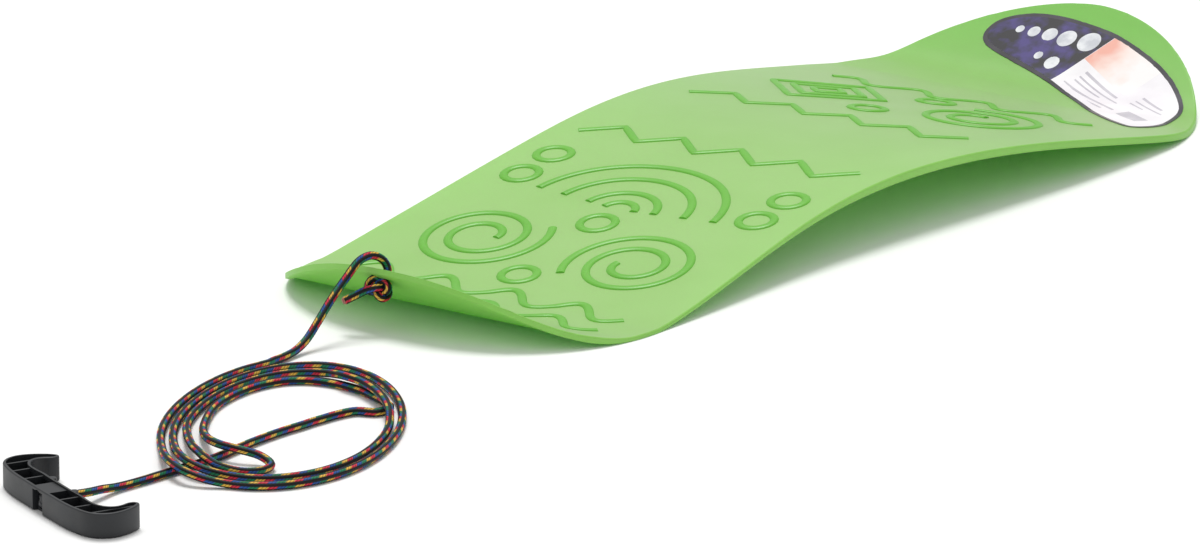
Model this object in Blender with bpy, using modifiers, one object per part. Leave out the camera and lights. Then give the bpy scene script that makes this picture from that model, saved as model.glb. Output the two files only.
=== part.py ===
"""Snowboard sled: a moulded plastic board with a tow rope, a pull handle and a stuck-on label.

Metres, Z up. X runs across the board, the nose points to -Y and the tail to +Y.
The origin is at the floor under the middle of the board.
"""

import math

import bmesh
import bpy
import numpy as np
from mathutils import Matrix, Vector

# Board: lengths run along it from the front rest line.
REST_SPACING = 0.672
REST_FLAT = 0.010
NOSE_REACH = 0.105
NOSE_RISE = 0.0416
NOSE_BLEND = 0.1423
TAIL_REACH = 0.112
TAIL_RISE = 0.0456
TAIL_BLEND = 0.0385
ARCH_RISE = 0.0405
NOSE_HALF_WIDTH = 0.150
WAIST_HALF_WIDTH = 0.1405
TAIL_HALF_WIDTH = 0.169
WAIST_PLACE = 0.229
NOSE_CORNER = 0.010
TAIL_CORNER = 0.0495
SHEET = 0.003
RIM_WALL = 0.0035
TOP_EDGE_RADIUS = 0.0015
CAVITY_OVERSHOOT = 0.010
ARCH_POWER = 1.2
NOSE_ROUND_POWER = 2.30
TAIL_ROUND_POWER = 1.82

# Height of the down-turned edge at its stations along the board.
EDGE_TIP = 0.0050
EDGE_NOSE_CORNER_PLACE = -0.050
EDGE_NOSE_CORNER = 0.0050
EDGE_FLUSH_START = -0.012
EDGE_FLUSH_END = 0.095
EDGE_FLUSH = 0.0027
EDGE_MIDDLE = 0.0060
EDGE_REAR_REST = 0.0052
EDGE_TAIL = 0.0050
BLANK_DEPTH = 0.018
BLANK_SPLIT = 0.012

# Rope hole in the nose.
HOLE_X = -0.009
HOLE_FROM_TIP = 0.0095
HOLE_RADIUS = 0.0040
HOLE_CUT_LENGTH = 0.014

# Raised lines on the board, and the group of motifs that they draw.
LINE_WIDTH = 0.0064
LINE_HEIGHT = 0.0014
LINE_ROOT = 0.0006
LINE_STEP = 0.0112
LINE_CROWN_SHARE = 0.58
STROKE_STEP = 0.0224
MOTIF_MARGIN = 0.0225
MOTIF_HALF = WAIST_HALF_WIDTH - MOTIF_MARGIN

# The motifs' sizes and places as shares of their half width. A place is given across the board
# and along it: the front ones behind the front rest, the rear ones ahead of the label's middle.
RING_SHARE = 0.110
SPIRAL_SHARE = 0.432
SWING_SHARE = 0.097
ARCH_SHARES = (0.110, 0.246, 0.454, 0.661)
DIAMOND_SHARES = (0.432, 0.276, 0.121)
FRONT_WAVE_SHARES = (-0.166, 0.093)
FRONT_SPIRAL_SHARES = ((-0.568, 0.764), (0.568, 0.764))
FRONT_ARCH_SHARE = 1.383
FRONT_RING_SHARES = (
    (0.0, 0.390),
    (0.0, 1.179),
    (-0.890, 1.591),
    (0.890, 1.591),
    (-0.890, 1.923),
    (0.890, 1.923),
)
FRONT_ZIGZAG_SHARE = 2.421
REAR_ZIGZAG_SHARE = 2.155
REAR_SPIRAL_SHARES = (0.568, 1.345)
REAR_DIAMOND_SHARES = (-0.568, 1.345)
REAR_RING_SHARES = ((0.0, 0.971), (0.0, 1.719))
REAR_WAVE_SHARE = 0.690

# Label on the tail.
LABEL_GAP = 0.0003
LABEL_THICKNESS = 0.0004
LABEL_LENGTH = 0.240
LABEL_DEPTH = 0.073
LABEL_TURN = math.radians(-27.0)
LABEL_X = 0.0298
LABEL_FROM_TAIL = 0.1068

# Rope and its knots.
ROPE_RADIUS = 0.003
ROPE_DIAMETER = 2.0 * ROPE_RADIUS
FACE_GAP = 0.0003
COIL_CENTRE_X = 0.0783
COIL_CENTRE_Y = -0.6577
COIL_LONG_HALF = 0.1471
COIL_SHORT_HALF = 0.0805
COIL_LONG_PITCH = 0.0165
COIL_SHORT_PITCH = 0.0078
COIL_LEAN = math.radians(-60.8)
COIL_EGG_SHARE = 0.0616
COIL_START = math.radians(209.7)
COIL_TURNS = 2.2
COIL_HOLD_SHARE = 0.5
COIL_PLACES_PER_TURN = 56
COIL_STEP = 0.0150
RUN_STEP = 0.0135
CLIMB_LIFT = 0.0070
CLIMB_TOP = 0.0065
CLIMB_FALL_AT_RUN = 0.045
CLIMB_FALL_AT_HOOK = 0.034
CLIMB_LIMIT_Y = -0.700
CLIMB_SIDEWAYS_SHARES = (1.85, -2.48)
STRAND_GAP_LEAST = 0.0004
NEIGHBOUR_LENGTH = 0.024
NOSE_KNOT_RING = 0.0042
NOSE_KNOT_DROP = 0.0106
NOSE_KNOT_FORWARD = 0.0035
NOSE_KNOT_LEAN = math.radians(15.0)
NOSE_KNOT_STUB = 0.0033
NOSE_KNOT_ROOT = 0.0090
NOSE_KNOT_SHIFT = 0.0042
NOSE_KNOT_TILT = math.radians(38.0)
NOSE_KNOT_TAIL = 0.0255
NOSE_KNOT_CORE_SHARES = (1.6, 1.3)
NOSE_KNOT_TAIL_SHARE = 0.98
NOSE_KNOT_TAIL_WAY = (-0.72, -0.63, -0.28)
NOSE_KNOT_RING_RISE_SHARES = (0.35, 0.55)
HANDLE_KNOT_RING = 0.0031
HANDLE_KNOT_SHIFT = 0.0045
HANDLE_KNOT_GAP = 0.0010
HANDLE_KNOT_STUB = 0.0015
HANDLE_KNOT_FIRST_ARC = (math.radians(-90.0), math.radians(30.0))
HANDLE_KNOT_SECOND_ARC = (math.radians(-30.0), math.radians(66.0))

# Handle: its origin is on the bore's axis, on the outer wall's face.
HANDLE_HALF_LENGTH = 0.0735
HANDLE_DEPTH = 0.0450
HANDLE_HEIGHT = 0.0170
HANDLE_EDGE_RADIUS = 0.0006
HANDLE_WALL = 0.0021
HANDLE_WEB = 0.0022
HANDLE_RIB = 0.0018
HANDLE_RIB_DROP = 0.0012
HANDLE_BORE_RADIUS = 0.0037
HANDLE_POCKET_RADIUS = 0.0072
HANDLE_POCKET_DEPTH = 0.0130
HANDLE_RECESS_DEPTH = 0.0036
HANDLE_BLOCK_HALF = 0.0105
HANDLE_EAR_PLACE = 0.0165
HANDLE_EAR_RADIUS = 0.0030
HANDLE_EAR_BACK_SHARE = 0.42
HANDLE_RIB_SHARES = (0.36, 0.62, 0.84)
HANDLE_X = 0.0690
HANDLE_Y = -0.9088
HANDLE_TURN = math.radians(-24.5)
CUT_SPARE = 0.010

# The rope's free stretches, as points on its centre line.
LEAD_ROUTE = (
    (-0.0113, -0.4310, 0.0440),
    (-0.0138, -0.4345, 0.0500),
    (-0.0168, -0.4425, 0.0533),
    (-0.0192, -0.4520, 0.0512),
    (-0.0207, -0.4630, 0.0430),
    (-0.0203, -0.4845, 0.0285),
    (-0.0193, -0.4995, 0.0175),
    (-0.0187, -0.5125, 0.0085),
    (-0.0179, -0.5250, 0.0042),
    (-0.0168, -0.5390, 0.0031),
    (-0.0167, -0.5530, 0.0030),
)
HAIRPIN_ROUTE = (
    (0.0744, -0.7536),
    (0.0911, -0.7662),
    (0.1062, -0.7745),
    (0.1180, -0.7752),
    (0.1280, -0.7700),
    (0.1350, -0.7610),
    (0.1362, -0.7505),
    (0.1320, -0.7415),
    (0.1230, -0.7385),
    (0.1120, -0.7415),
    (0.1010, -0.7440),
    (0.0875, -0.7430),
    (0.0750, -0.7365),
    (0.0610, -0.7235),
    (0.0487, -0.7101),
    (0.0341, -0.6894),
    (0.0207, -0.6648),
    (0.0140, -0.6440),
    (0.0110, -0.6220),
    (0.0125, -0.6000),
    (0.0213, -0.5813),
    (0.0386, -0.5705),
)
HOOK_ROUTE = (
    (0.0627, -0.5690),
    (0.0760, -0.5712),
    (0.0892, -0.5760),
    (0.1020, -0.5815),
    (0.1130, -0.5882),
    (0.1180, -0.5970),
    (0.1140, -0.6050),
    (0.1060, -0.6075),
)
RETURN_ROUTE = (
    (0.1000, -0.6140),
    (0.0965, -0.6260),
    (0.0945, -0.6400),
)
RUN_ROUTE = (
    (0.0930, -0.6550),
    (0.0905, -0.6780),
    (0.0899, -0.7003),
    (0.0903, -0.7170),
    (0.0915, -0.7345),
    (0.0921, -0.7477),
    (0.0918, -0.7629),
    (0.0900, -0.7760),
    (0.0880, -0.7925),
    (0.0865, -0.8084),
    (0.0843, -0.8261),
    (0.0821, -0.8391),
)
# Where the run rises into the bore: along, back and up from the handle's origin.
RISE_ROUTE = (
    (-0.0115, 0.0560, 0.0052),
    (-0.0040, 0.0415, 0.0072),
    (0.0, 0.0275, 0.0085),
)

# Outlines as shares: of the label's length and depth, and of the handle's half length and depth.
LABEL_SHARES = (
    (0.03, 0.01),
    (0.38, 0.16),
    (0.90, -0.04),
    (0.985, 0.0),
    (0.985, 0.23),
    (0.945, 0.49),
    (0.89, 0.73),
    (0.82, 0.93),
    (0.72, 1.04),
    (0.60, 1.08),
    (0.48, 1.06),
    (0.35, 1.0),
    (0.24, 0.89),
    (0.14, 0.76),
    (0.06, 0.61),
    (0.0, 0.42),
    (-0.025, 0.24),
    (-0.01, 0.07),
)
HANDLE_HALF_SHARES = (
    (0.0, 0.0),
    (0.27, 0.004),
    (0.52, 0.012),
    (0.70, 0.045),
    (0.86, 0.115),
    (0.95, 0.235),
    (0.995, 0.42),
    (0.985, 0.60),
    (0.935, 0.80),
    (0.88, 0.93),
    (0.825, 1.0),
    (0.775, 0.965),
    (0.765, 0.86),
    (0.795, 0.74),
    (0.805, 0.63),
    (0.77, 0.52),
    (0.68, 0.435),
    (0.53, 0.415),
    (0.38, 0.43),
    (0.20, 0.42),
    (0.0, 0.42),
)

# How finely round things are divided.
FULL_TURN = 2.0 * math.pi
SPLINE_PLACES = 24
ROUND_SIDES = 24
ROD_SIDES = 16
KNOT_RING_SIDES = (20, 12)
KNOT_ARC_PLACES = 7
TIP_PLACES = 16
SIDE_PLACES = (9, 14)
NOSE_STATIONS = 14
ARCH_STATIONS = 28
TAIL_STATIONS = 12
EDGE_SEGMENTS = 2
HANDLE_PLAN_SHARE = 0.0625
WELD = 0.00001
BOARD_SHARP = math.radians(32.0)
HANDLE_SHARP = math.radians(35.0)
KNOT_SHARP = math.radians(50.0)
STATION_SNAP = 0.0003
SLOPE_STEP = 0.0003
SPIRAL_TURNS = 2.1
ARCH_END = 0.12
ARC_PLACES_LEAST = 6
WAVE_PLACES = 26
WAVE_SWINGS = 4
ZIGZAG_STROKES = 9


def clear_scene():
    for item in list(bpy.data.objects):
        bpy.data.objects.remove(item)


def smooth_share(t):
    t = np.clip(t, 0.0, 1.0)
    return t * t * (3.0 - 2.0 * t)


def blend_run(s, blend):
    """Height gained after a distance s by a slope that eases in over blend to one."""
    t = np.clip(s / blend, 0.0, 1.0)
    return blend * (t**3 - t**4 / 2.0) + np.maximum(s - blend, 0.0)


def underside(u):
    """Height of the board's lower edge at a place along it."""
    u = np.asarray(u, float)
    arch_share = np.clip((u - REST_FLAT) / (REST_SPACING - 2.0 * REST_FLAT), 0.0, 1.0)
    arch = ARCH_RISE * np.sin(math.pi * arch_share) ** ARCH_POWER
    nose_run = np.maximum(-u - REST_FLAT, 0.0)
    nose = NOSE_RISE * blend_run(nose_run, NOSE_BLEND) / blend_run(NOSE_REACH - REST_FLAT, NOSE_BLEND)
    tail_run = np.maximum(u - REST_SPACING - REST_FLAT, 0.0)
    tail = TAIL_RISE * blend_run(tail_run, TAIL_BLEND) / blend_run(TAIL_REACH - REST_FLAT, TAIL_BLEND)
    return arch + nose + tail


def edge_height(u):
    """Height of the down-turned edge, which eases from station to station."""
    stops = (
        (-NOSE_REACH, EDGE_TIP),
        (EDGE_NOSE_CORNER_PLACE, EDGE_NOSE_CORNER),
        (EDGE_FLUSH_START, EDGE_FLUSH),
        (EDGE_FLUSH_END, EDGE_FLUSH),
        (REST_SPACING / 2.0, EDGE_MIDDLE),
        (REST_SPACING, EDGE_REAR_REST),
        (REST_SPACING + TAIL_REACH, EDGE_TAIL),
    )
    u = np.asarray(u, float)
    found = np.full(u.shape, EDGE_TIP)
    for (place, height), (next_place, next_height) in zip(stops[:-1], stops[1:]):
        found = found + (next_height - height) * smooth_share((u - place) / (next_place - place))
    return found


def topside(u):
    return underside(u) + edge_height(u)


def place_y(u):
    """World Y of a place along the board: the board's middle is at zero."""
    return u - (REST_SPACING + TAIL_REACH - NOSE_REACH) / 2.0


def outline():
    """The board's plan outline as (x, u) points, going round once."""
    tail_u = REST_SPACING - TAIL_CORNER
    side = [(0.0, -NOSE_REACH)]
    for angle in np.linspace(0.0, math.pi / 2.0, TIP_PLACES + 1)[1:-1]:
        reach = (NOSE_CORNER + NOSE_REACH) * math.cos(angle) ** (2.0 / NOSE_ROUND_POWER)
        x = NOSE_HALF_WIDTH * math.sin(angle) ** (2.0 / NOSE_ROUND_POWER)
        side.append((x, NOSE_CORNER - reach))
    for u in np.linspace(NOSE_CORNER, WAIST_PLACE, SIDE_PLACES[0] + 1)[:-1]:
        share = smooth_share((u - NOSE_CORNER) / (WAIST_PLACE - NOSE_CORNER))
        side.append((NOSE_HALF_WIDTH + (WAIST_HALF_WIDTH - NOSE_HALF_WIDTH) * share, u))
    for u in np.linspace(WAIST_PLACE, tail_u, SIDE_PLACES[1] + 1):
        share = smooth_share((u - WAIST_PLACE) / (tail_u - WAIST_PLACE))
        side.append((WAIST_HALF_WIDTH + (TAIL_HALF_WIDTH - WAIST_HALF_WIDTH) * share, u))
    for angle in np.linspace(0.0, math.pi / 2.0, TIP_PLACES + 1)[1:-1]:
        reach = (TAIL_CORNER + TAIL_REACH) * math.sin(angle) ** (2.0 / TAIL_ROUND_POWER)
        side.append((TAIL_HALF_WIDTH * math.cos(angle) ** (2.0 / TAIL_ROUND_POWER), tail_u + reach))
    side.append((0.0, REST_SPACING + TAIL_REACH))
    other = [(-x, u) for x, u in side[-2:0:-1]]
    return np.array(side + other, float)


def inset(points, distance):
    """A closed, anticlockwise outline moved inwards."""
    before = points - np.roll(points, 1, axis=0)
    after = np.roll(points, -1, axis=0) - points
    before = before / np.linalg.norm(before, axis=1)[:, None]
    after = after / np.linalg.norm(after, axis=1)[:, None]
    inward = np.stack([-(before + after)[:, 1], (before + after)[:, 0]], axis=1)
    inward = inward / np.linalg.norm(inward, axis=1)[:, None]
    lean = np.clip((inward * np.stack([-after[:, 1], after[:, 0]], axis=1)).sum(axis=1), 0.5, 1.0)
    return points + inward * (distance / lean)[:, None]


def stations():
    """Places along the board where its blank is cut across, so that it can bend."""
    nose = np.linspace(-NOSE_REACH, -REST_FLAT, NOSE_STATIONS + 1)[1:]
    arch = np.linspace(REST_FLAT, REST_SPACING - REST_FLAT, ARCH_STATIONS + 1)
    tail = np.linspace(REST_SPACING + REST_FLAT, REST_SPACING + TAIL_REACH, TAIL_STATIONS + 1)[:-1]
    return [float(u) for u in (*nose, *arch, *tail)]


def mix(first, last, start, end, t):
    share = (t - start) / (end - start)
    return first * (1.0 - share) + last * share


def spline(points, closed, step):
    """Points at even steps on a smooth curve through the given ones."""
    points = np.asarray(points, float)
    if closed:
        padded = np.vstack([points[-1], points, points[0], points[1]])
    else:
        padded = np.vstack([2.0 * points[0] - points[1], points, 2.0 * points[-1] - points[-2]])
    dense = []
    for i in range(1, len(padded) - 2):
        four = padded[i - 1 : i + 3]
        chords = np.linalg.norm(np.diff(four, axis=0), axis=1)
        knots = np.concatenate([[0.0], np.cumsum(np.sqrt(chords))])
        for t in np.linspace(knots[1], knots[2], SPLINE_PLACES, endpoint=False):
            pairs = [mix(four[j], four[j + 1], knots[j], knots[j + 1], t) for j in range(3)]
            ends = [mix(pairs[j], pairs[j + 1], knots[j], knots[j + 2], t) for j in range(2)]
            dense.append(mix(ends[0], ends[1], knots[1], knots[2], t))
    dense.append(padded[-2])
    dense = np.array(dense)
    run = np.concatenate([[0.0], np.cumsum(np.linalg.norm(np.diff(dense, axis=0), axis=1))])
    places = np.linspace(0.0, run[-1], max(2, round(run[-1] / step)) + 1)
    even = np.stack([np.interp(places, run, dense[:, k]) for k in range(dense.shape[1])], axis=1)
    return even[:-1] if closed else even


# Making solids with the modelling tools.
def keep_in(item, collection):
    """Move a new object from the scene's own collection to one of ours."""
    for home in list(item.users_collection):
        home.objects.unlink(item)
    collection.objects.link(item)
    return item


def solid_from_curve(curve, collection):
    """A closed mesh from a curve object, with its caps joined on."""
    graph = bpy.context.evaluated_depsgraph_get()
    mesh = bpy.data.meshes.new_from_object(curve.evaluated_get(graph))
    work = bmesh.new()
    work.from_mesh(mesh)
    bmesh.ops.remove_doubles(work, verts=work.verts, dist=WELD)
    bmesh.ops.recalc_face_normals(work, faces=work.faces)
    work.to_mesh(mesh)
    work.free()
    name = curve.name
    bpy.data.objects.remove(curve)
    item = bpy.data.objects.new(name, mesh)
    collection.objects.link(item)
    return item


def curve_object(name, points, closed, collection):
    data = bpy.data.curves.new(name, "CURVE")
    data.dimensions = "3D"
    data.twist_mode = "Z_UP"
    line = data.splines.new("POLY")
    line.points.add(len(points) - 1)
    for corner, place in zip(line.points, points):
        corner.co = (*(float(c) for c in place), 1.0)
    line.use_cyclic_u = closed
    item = bpy.data.objects.new(name, data)
    collection.objects.link(item)
    return item


def plate(name, points, low, high, collection):
    """A flat plate from a closed outline: a filled flat curve, raised to its thickness."""
    curve = curve_object(name, np.column_stack([points, np.zeros(len(points))]), True, collection)
    curve.data.dimensions = "2D"
    curve.data.fill_mode = "BOTH"
    curve.data.extrude = (high - low) / 2.0
    item = solid_from_curve(curve, collection)
    item.data.transform(Matrix.Translation((0.0, 0.0, (low + high) / 2.0)))
    work = bmesh.new()
    work.from_mesh(item.data)
    flats = [edge for edge in work.edges if edge.calc_face_angle(0.0) < WELD]
    bmesh.ops.dissolve_edges(work, edges=flats, use_verts=False)
    work.to_mesh(item.data)
    work.free()
    return item


def round_edges(item, radius, segments, level):
    """Round the edges that lie all round a plate at one level."""
    work = bmesh.new()
    work.from_mesh(item.data)
    chosen = [edge for edge in work.edges if all(abs(v.co.z - level) < WELD for v in edge.verts)]
    bmesh.ops.bevel(work, geom=chosen, offset=radius, segments=segments, profile=0.5, affect="EDGES")
    work.to_mesh(item.data)
    work.free()


def box(name, low, high, collection):
    middle = [(a + b) / 2.0 for a, b in zip(low, high)]
    size = [b - a for a, b in zip(low, high)]
    bpy.ops.mesh.primitive_cube_add(size=1.0, location=middle, scale=size)
    item = bpy.context.active_object
    item.name = name
    return keep_in(item, collection)


def rod(name, start, end, radius, sides, collection):
    start = Vector(start)
    end = Vector(end)
    way = end - start
    bpy.ops.mesh.primitive_cylinder_add(
        vertices=sides,
        radius=radius,
        depth=way.length,
        location=(start + end) / 2.0,
        rotation=way.to_track_quat("Z", "Y").to_euler(),
    )
    item = bpy.context.active_object
    item.name = name
    return keep_in(item, collection)


def ring(name, centre, axis, radius, thick, collection):
    bpy.ops.mesh.primitive_torus_add(
        major_radius=radius,
        minor_radius=thick,
        major_segments=KNOT_RING_SIDES[0],
        minor_segments=KNOT_RING_SIDES[1],
        location=centre,
        rotation=Vector(axis).to_track_quat("Z", "Y").to_euler(),
    )
    item = bpy.context.active_object
    item.name = name
    return keep_in(item, collection)


def join(items):
    base = items[0]
    with bpy.context.temp_override(active_object=base, selected_editable_objects=items):
        bpy.ops.object.join()
    return base


def boolean(item, cutter, kind):
    step = item.modifiers.new(kind.lower(), "BOOLEAN")
    step.operation = kind
    step.solver = "EXACT"
    step.object = cutter
    cutter.hide_render = True
    cutter.display_type = "WIRE"


def bake(item):
    """Replace an object's mesh with its evaluated one, so that later steps start from it."""
    graph = bpy.context.evaluated_depsgraph_get()
    made = bpy.data.meshes.new_from_object(item.evaluated_get(graph))
    item.modifiers.clear()
    item.data = made


def shade(item, angle):
    for face in item.data.polygons:
        face.use_smooth = True
    item.data.set_sharp_from_angle(angle=angle)


def material(name, colour, roughness):
    made = bpy.data.materials.new(name)
    made.use_nodes = True
    sockets = made.node_tree.nodes["Principled BSDF"].inputs
    sockets["Base Color"].default_value = (*colour, 1.0)
    sockets["Roughness"].default_value = roughness
    return made


def slice_stations(item):
    """Cut a flat blank across at the board's stations."""
    work = bmesh.new()
    work.from_mesh(item.data)
    for u in stations():
        geometry = work.verts[:] + work.edges[:] + work.faces[:]
        bmesh.ops.bisect_plane(
            work,
            geom=geometry,
            dist=STATION_SNAP,
            plane_co=(0, u, 0),
            plane_no=(0, 1, 0),
            use_snap_center=True,
        )
    bmesh.ops.triangulate(work, faces=work.faces)
    work.to_mesh(item.data)
    work.free()


def drape(item, deep_height):
    """Bend a flat blank over the board's top. What lies below the split takes its own height."""
    for corner in item.data.vertices:
        x, u, z = corner.co
        if z < -BLANK_SPLIT:
            height = float(deep_height(u))
        else:
            height = float(topside(u)) + z
        corner.co = (x, place_y(u), height)
    item.data.update()


# The raised lines' motifs, drawn flat on the board's plan.
def arc(x, u, radius, start, end):
    steps = max(ARC_PLACES_LEAST, int(abs(end - start) * radius / LINE_STEP))
    angles = np.linspace(start, end, steps + 1)
    return np.stack([x + radius * np.cos(angles), u + radius * np.sin(angles)], axis=1)


def loop(x, u, radius):
    return arc(x, u, radius, 0.0, FULL_TURN)[:-1]


def spiral(x, u, inner, outer, start):
    steps = int(SPIRAL_TURNS * math.pi * (inner + outer) / LINE_STEP)
    share = np.linspace(0.0, 1.0, steps + 1)
    angles = start + FULL_TURN * SPIRAL_TURNS * share
    radius = inner + (outer - inner) * share
    return np.stack([x + radius * np.cos(angles), u + radius * np.sin(angles)], axis=1)


def wave(u):
    """A wavy line across the board."""
    share = np.linspace(-1.0, 1.0, WAVE_PLACES + 1)
    swing = MOTIF_HALF * SWING_SHARE * np.sin(math.pi * WAVE_SWINGS * share)
    return np.stack([MOTIF_HALF * share, u + swing], axis=1)


def strokes(points):
    """Straight strokes between corners, with points along them."""
    found = []
    for start, end in zip(points[:-1], points[1:]):
        steps = max(1, round(np.linalg.norm(end - start) / STROKE_STEP))
        found += [start + (end - start) * i / steps for i in range(steps)]
    return found


def zigzag(u):
    """A line across the board that goes up and down in straight strokes."""
    places = np.linspace(-MOTIF_HALF, MOTIF_HALF, ZIGZAG_STROKES + 1)
    swing = MOTIF_HALF * SWING_SHARE
    corners = [np.array([x, u + (swing if i % 2 else -swing)]) for i, x in enumerate(places)]
    return np.array([*strokes(corners), corners[-1]])


def diamond(x, u, half):
    tips = [(x + half, u), (x, u + half), (x - half, u), (x, u - half), (x + half, u)]
    return np.array(strokes([np.array(tip) for tip in tips]))


def motif_lines():
    """Two groups of motifs, each line with a mark that says whether it is closed.

    The board is bare between the groups.
    """
    ring_radius = MOTIF_HALF * RING_SHARE
    spiral_radius = MOTIF_HALF * SPIRAL_SHARE
    label_u = REST_SPACING + TAIL_REACH - LABEL_FROM_TAIL

    def front(shares):
        return MOTIF_HALF * shares[0], MOTIF_HALF * shares[1]

    def rear(shares):
        return MOTIF_HALF * shares[0], label_u - MOTIF_HALF * shares[1]

    lines = [(wave(MOTIF_HALF * share), False) for share in FRONT_WAVE_SHARES]
    lines.append((wave(label_u - MOTIF_HALF * REAR_WAVE_SHARE), False))
    lines.append((zigzag(MOTIF_HALF * FRONT_ZIGZAG_SHARE), False))
    lines.append((zigzag(label_u - MOTIF_HALF * REAR_ZIGZAG_SHARE), False))
    spiral_places = [(front(shares), side) for shares, side in zip(FRONT_SPIRAL_SHARES, (0.0, math.pi))]
    spiral_places.append((rear(REAR_SPIRAL_SHARES), math.pi / 2.0))
    for (x, u), start in spiral_places:
        lines.append((spiral(x, u, ring_radius, spiral_radius, start), False))
    for x, u in [*map(front, FRONT_RING_SHARES), *map(rear, REAR_RING_SHARES)]:
        lines.append((loop(x, u, ring_radius), True))
    for share in ARCH_SHARES:
        bow = arc(0.0, MOTIF_HALF * FRONT_ARCH_SHARE, MOTIF_HALF * share, ARCH_END, math.pi - ARCH_END)
        lines.append((bow, False))
    for share in DIAMOND_SHARES:
        lines.append((diamond(*rear(REAR_DIAMOND_SHARES), MOTIF_HALF * share), True))
    return lines


def raised_lines(collection):
    """Every motif line as a low bar with slanted sides, in one object bent over the board.

    The bar has the line's width where it meets the board, and goes a little below it.
    """
    half = LINE_WIDTH / 2.0
    crown = half * LINE_CROWN_SHARE
    root = half + (half - crown) * LINE_ROOT / LINE_HEIGHT
    section = (
        (-root, -LINE_ROOT, 0.0),
        (root, -LINE_ROOT, 0.0),
        (crown, LINE_HEIGHT, 0.0),
        (-crown, LINE_HEIGHT, 0.0),
    )
    profile = curve_object("line_section", section, True, collection)
    profile.data.dimensions = "2D"
    bars = []
    for i, (points, closed) in enumerate(motif_lines()):
        flat = np.column_stack([points, np.zeros(len(points))])
        bar = curve_object(f"line_{i}", flat, closed, collection)
        bar.data.bevel_mode = "OBJECT"
        bar.data.bevel_object = profile
        bar.data.use_fill_caps = True
        bars.append(solid_from_curve(bar, collection))
    bpy.data.objects.remove(profile)
    lines = join(bars)
    drape(lines, underside)
    return lines


# The parts.
def hole_frame():
    """The rope hole's middle on the sheet, and the unit vector square to the sheet there."""
    u = -NOSE_REACH + HOLE_FROM_TIP
    slope = float(topside(u + SLOPE_STEP) - topside(u - SLOPE_STEP)) / (2.0 * SLOPE_STEP)
    normal = np.array([0.0, -slope, 1.0]) / math.hypot(slope, 1.0)
    top = np.array([HOLE_X, place_y(u), float(topside(u))])
    return top - np.array([0.0, 0.0, SHEET / 2.0]), normal


def build_board(parts, cutters):
    """The moulded board: a bent blank with a rounded rim, hollowed from below, with raised lines."""
    rim = outline()
    board = plate("board", rim, -BLANK_DEPTH, 0.0, parts)
    round_edges(board, TOP_EDGE_RADIUS, EDGE_SEGMENTS, 0.0)
    slice_stations(board)
    drape(board, underside)
    hollow = plate("hollow_cutter", inset(rim, RIM_WALL), -BLANK_DEPTH, -SHEET, cutters)
    slice_stations(hollow)
    drape(hollow, lambda u: underside(u) - CAVITY_OVERSHOOT)
    boolean(board, hollow, "DIFFERENCE")
    boolean(board, raised_lines(cutters), "UNION")
    centre, normal = hole_frame()
    reach = normal * HOLE_CUT_LENGTH / 2.0
    hole = rod("hole_cutter", centre - reach, centre + reach, HOLE_RADIUS, ROUND_SIDES, cutters)
    boolean(board, hole, "DIFFERENCE")
    bake(board)
    shade(board, BOARD_SHARP)


def build_label(parts):
    """The label: a thin film bent over the tail."""
    along = np.array([math.cos(LABEL_TURN), math.sin(LABEL_TURN)])
    across = np.array([-along[1], along[0]])
    middle = np.array([LABEL_X, REST_SPACING + TAIL_REACH - LABEL_FROM_TAIL])
    rim = []
    for length_share, depth_share in LABEL_SHARES:
        rim.append(middle + along * LABEL_LENGTH * (length_share - 0.5) + across * LABEL_DEPTH * depth_share)
    label = plate("label", np.array(rim), LABEL_GAP, LABEL_GAP + LABEL_THICKNESS, parts)
    slice_stations(label)
    drape(label, underside)
    shade(label, BOARD_SHARP)


def nose_knot_frame():
    """Middle of the knot under the nose, the rope's way through the hole, and the hole's middle."""
    centre, normal = hole_frame()
    ahead = np.array([0.0, -normal[2], normal[1]])
    up = normal * math.cos(NOSE_KNOT_LEAN) + ahead * math.sin(NOSE_KNOT_LEAN)
    return centre - normal * NOSE_KNOT_DROP + ahead * NOSE_KNOT_FORWARD, up, centre


def build_nose_knot(parts, cutters):
    """The knot under the nose: two crossing rings of rope round a core, with the cut tail."""
    knot, up, hole = nose_knot_frame()
    body = rod(
        "nose_knot",
        hole - up * NOSE_KNOT_ROOT,
        hole - up * NOSE_KNOT_STUB,
        ROPE_RADIUS,
        ROD_SIDES,
        parts,
    )
    first_rise, second_rise = NOSE_KNOT_RING_RISE_SHARES
    first = (math.sin(NOSE_KNOT_TILT), -math.cos(NOSE_KNOT_TILT), first_rise)
    second = (-math.sin(NOSE_KNOT_TILT), -math.cos(NOSE_KNOT_TILT), second_rise)
    shift = np.array([NOSE_KNOT_SHIFT, 0.0, 0.0])
    core = shift * NOSE_KNOT_CORE_SHARES[0]
    core_radius = ROPE_RADIUS * NOSE_KNOT_CORE_SHARES[1]
    tail_way = np.array(NOSE_KNOT_TAIL_WAY) / np.linalg.norm(NOSE_KNOT_TAIL_WAY)
    tail_end = knot + tail_way * NOSE_KNOT_TAIL
    tail_radius = ROPE_RADIUS * NOSE_KNOT_TAIL_SHARE
    pieces = (
        ring("knot_ring_a", knot + shift, first, NOSE_KNOT_RING, ROPE_RADIUS, cutters),
        ring("knot_ring_b", knot - shift, second, NOSE_KNOT_RING, ROPE_RADIUS, cutters),
        rod("knot_core", knot - core, knot + core, core_radius, ROD_SIDES, cutters),
        rod("knot_tail", knot, tail_end, tail_radius, ROD_SIDES, cutters),
    )
    for piece in pieces:
        boolean(body, piece, "UNION")
    bake(body)
    shade(body, KNOT_SHARP)


def handle_point(along, back, up):
    """A world place from lengths along the handle, back from its outer wall and up."""
    c = math.cos(HANDLE_TURN)
    s = math.sin(HANDLE_TURN)
    return np.array([HANDLE_X + along * c - back * s, HANDLE_Y + along * s + back * c, up])


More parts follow.
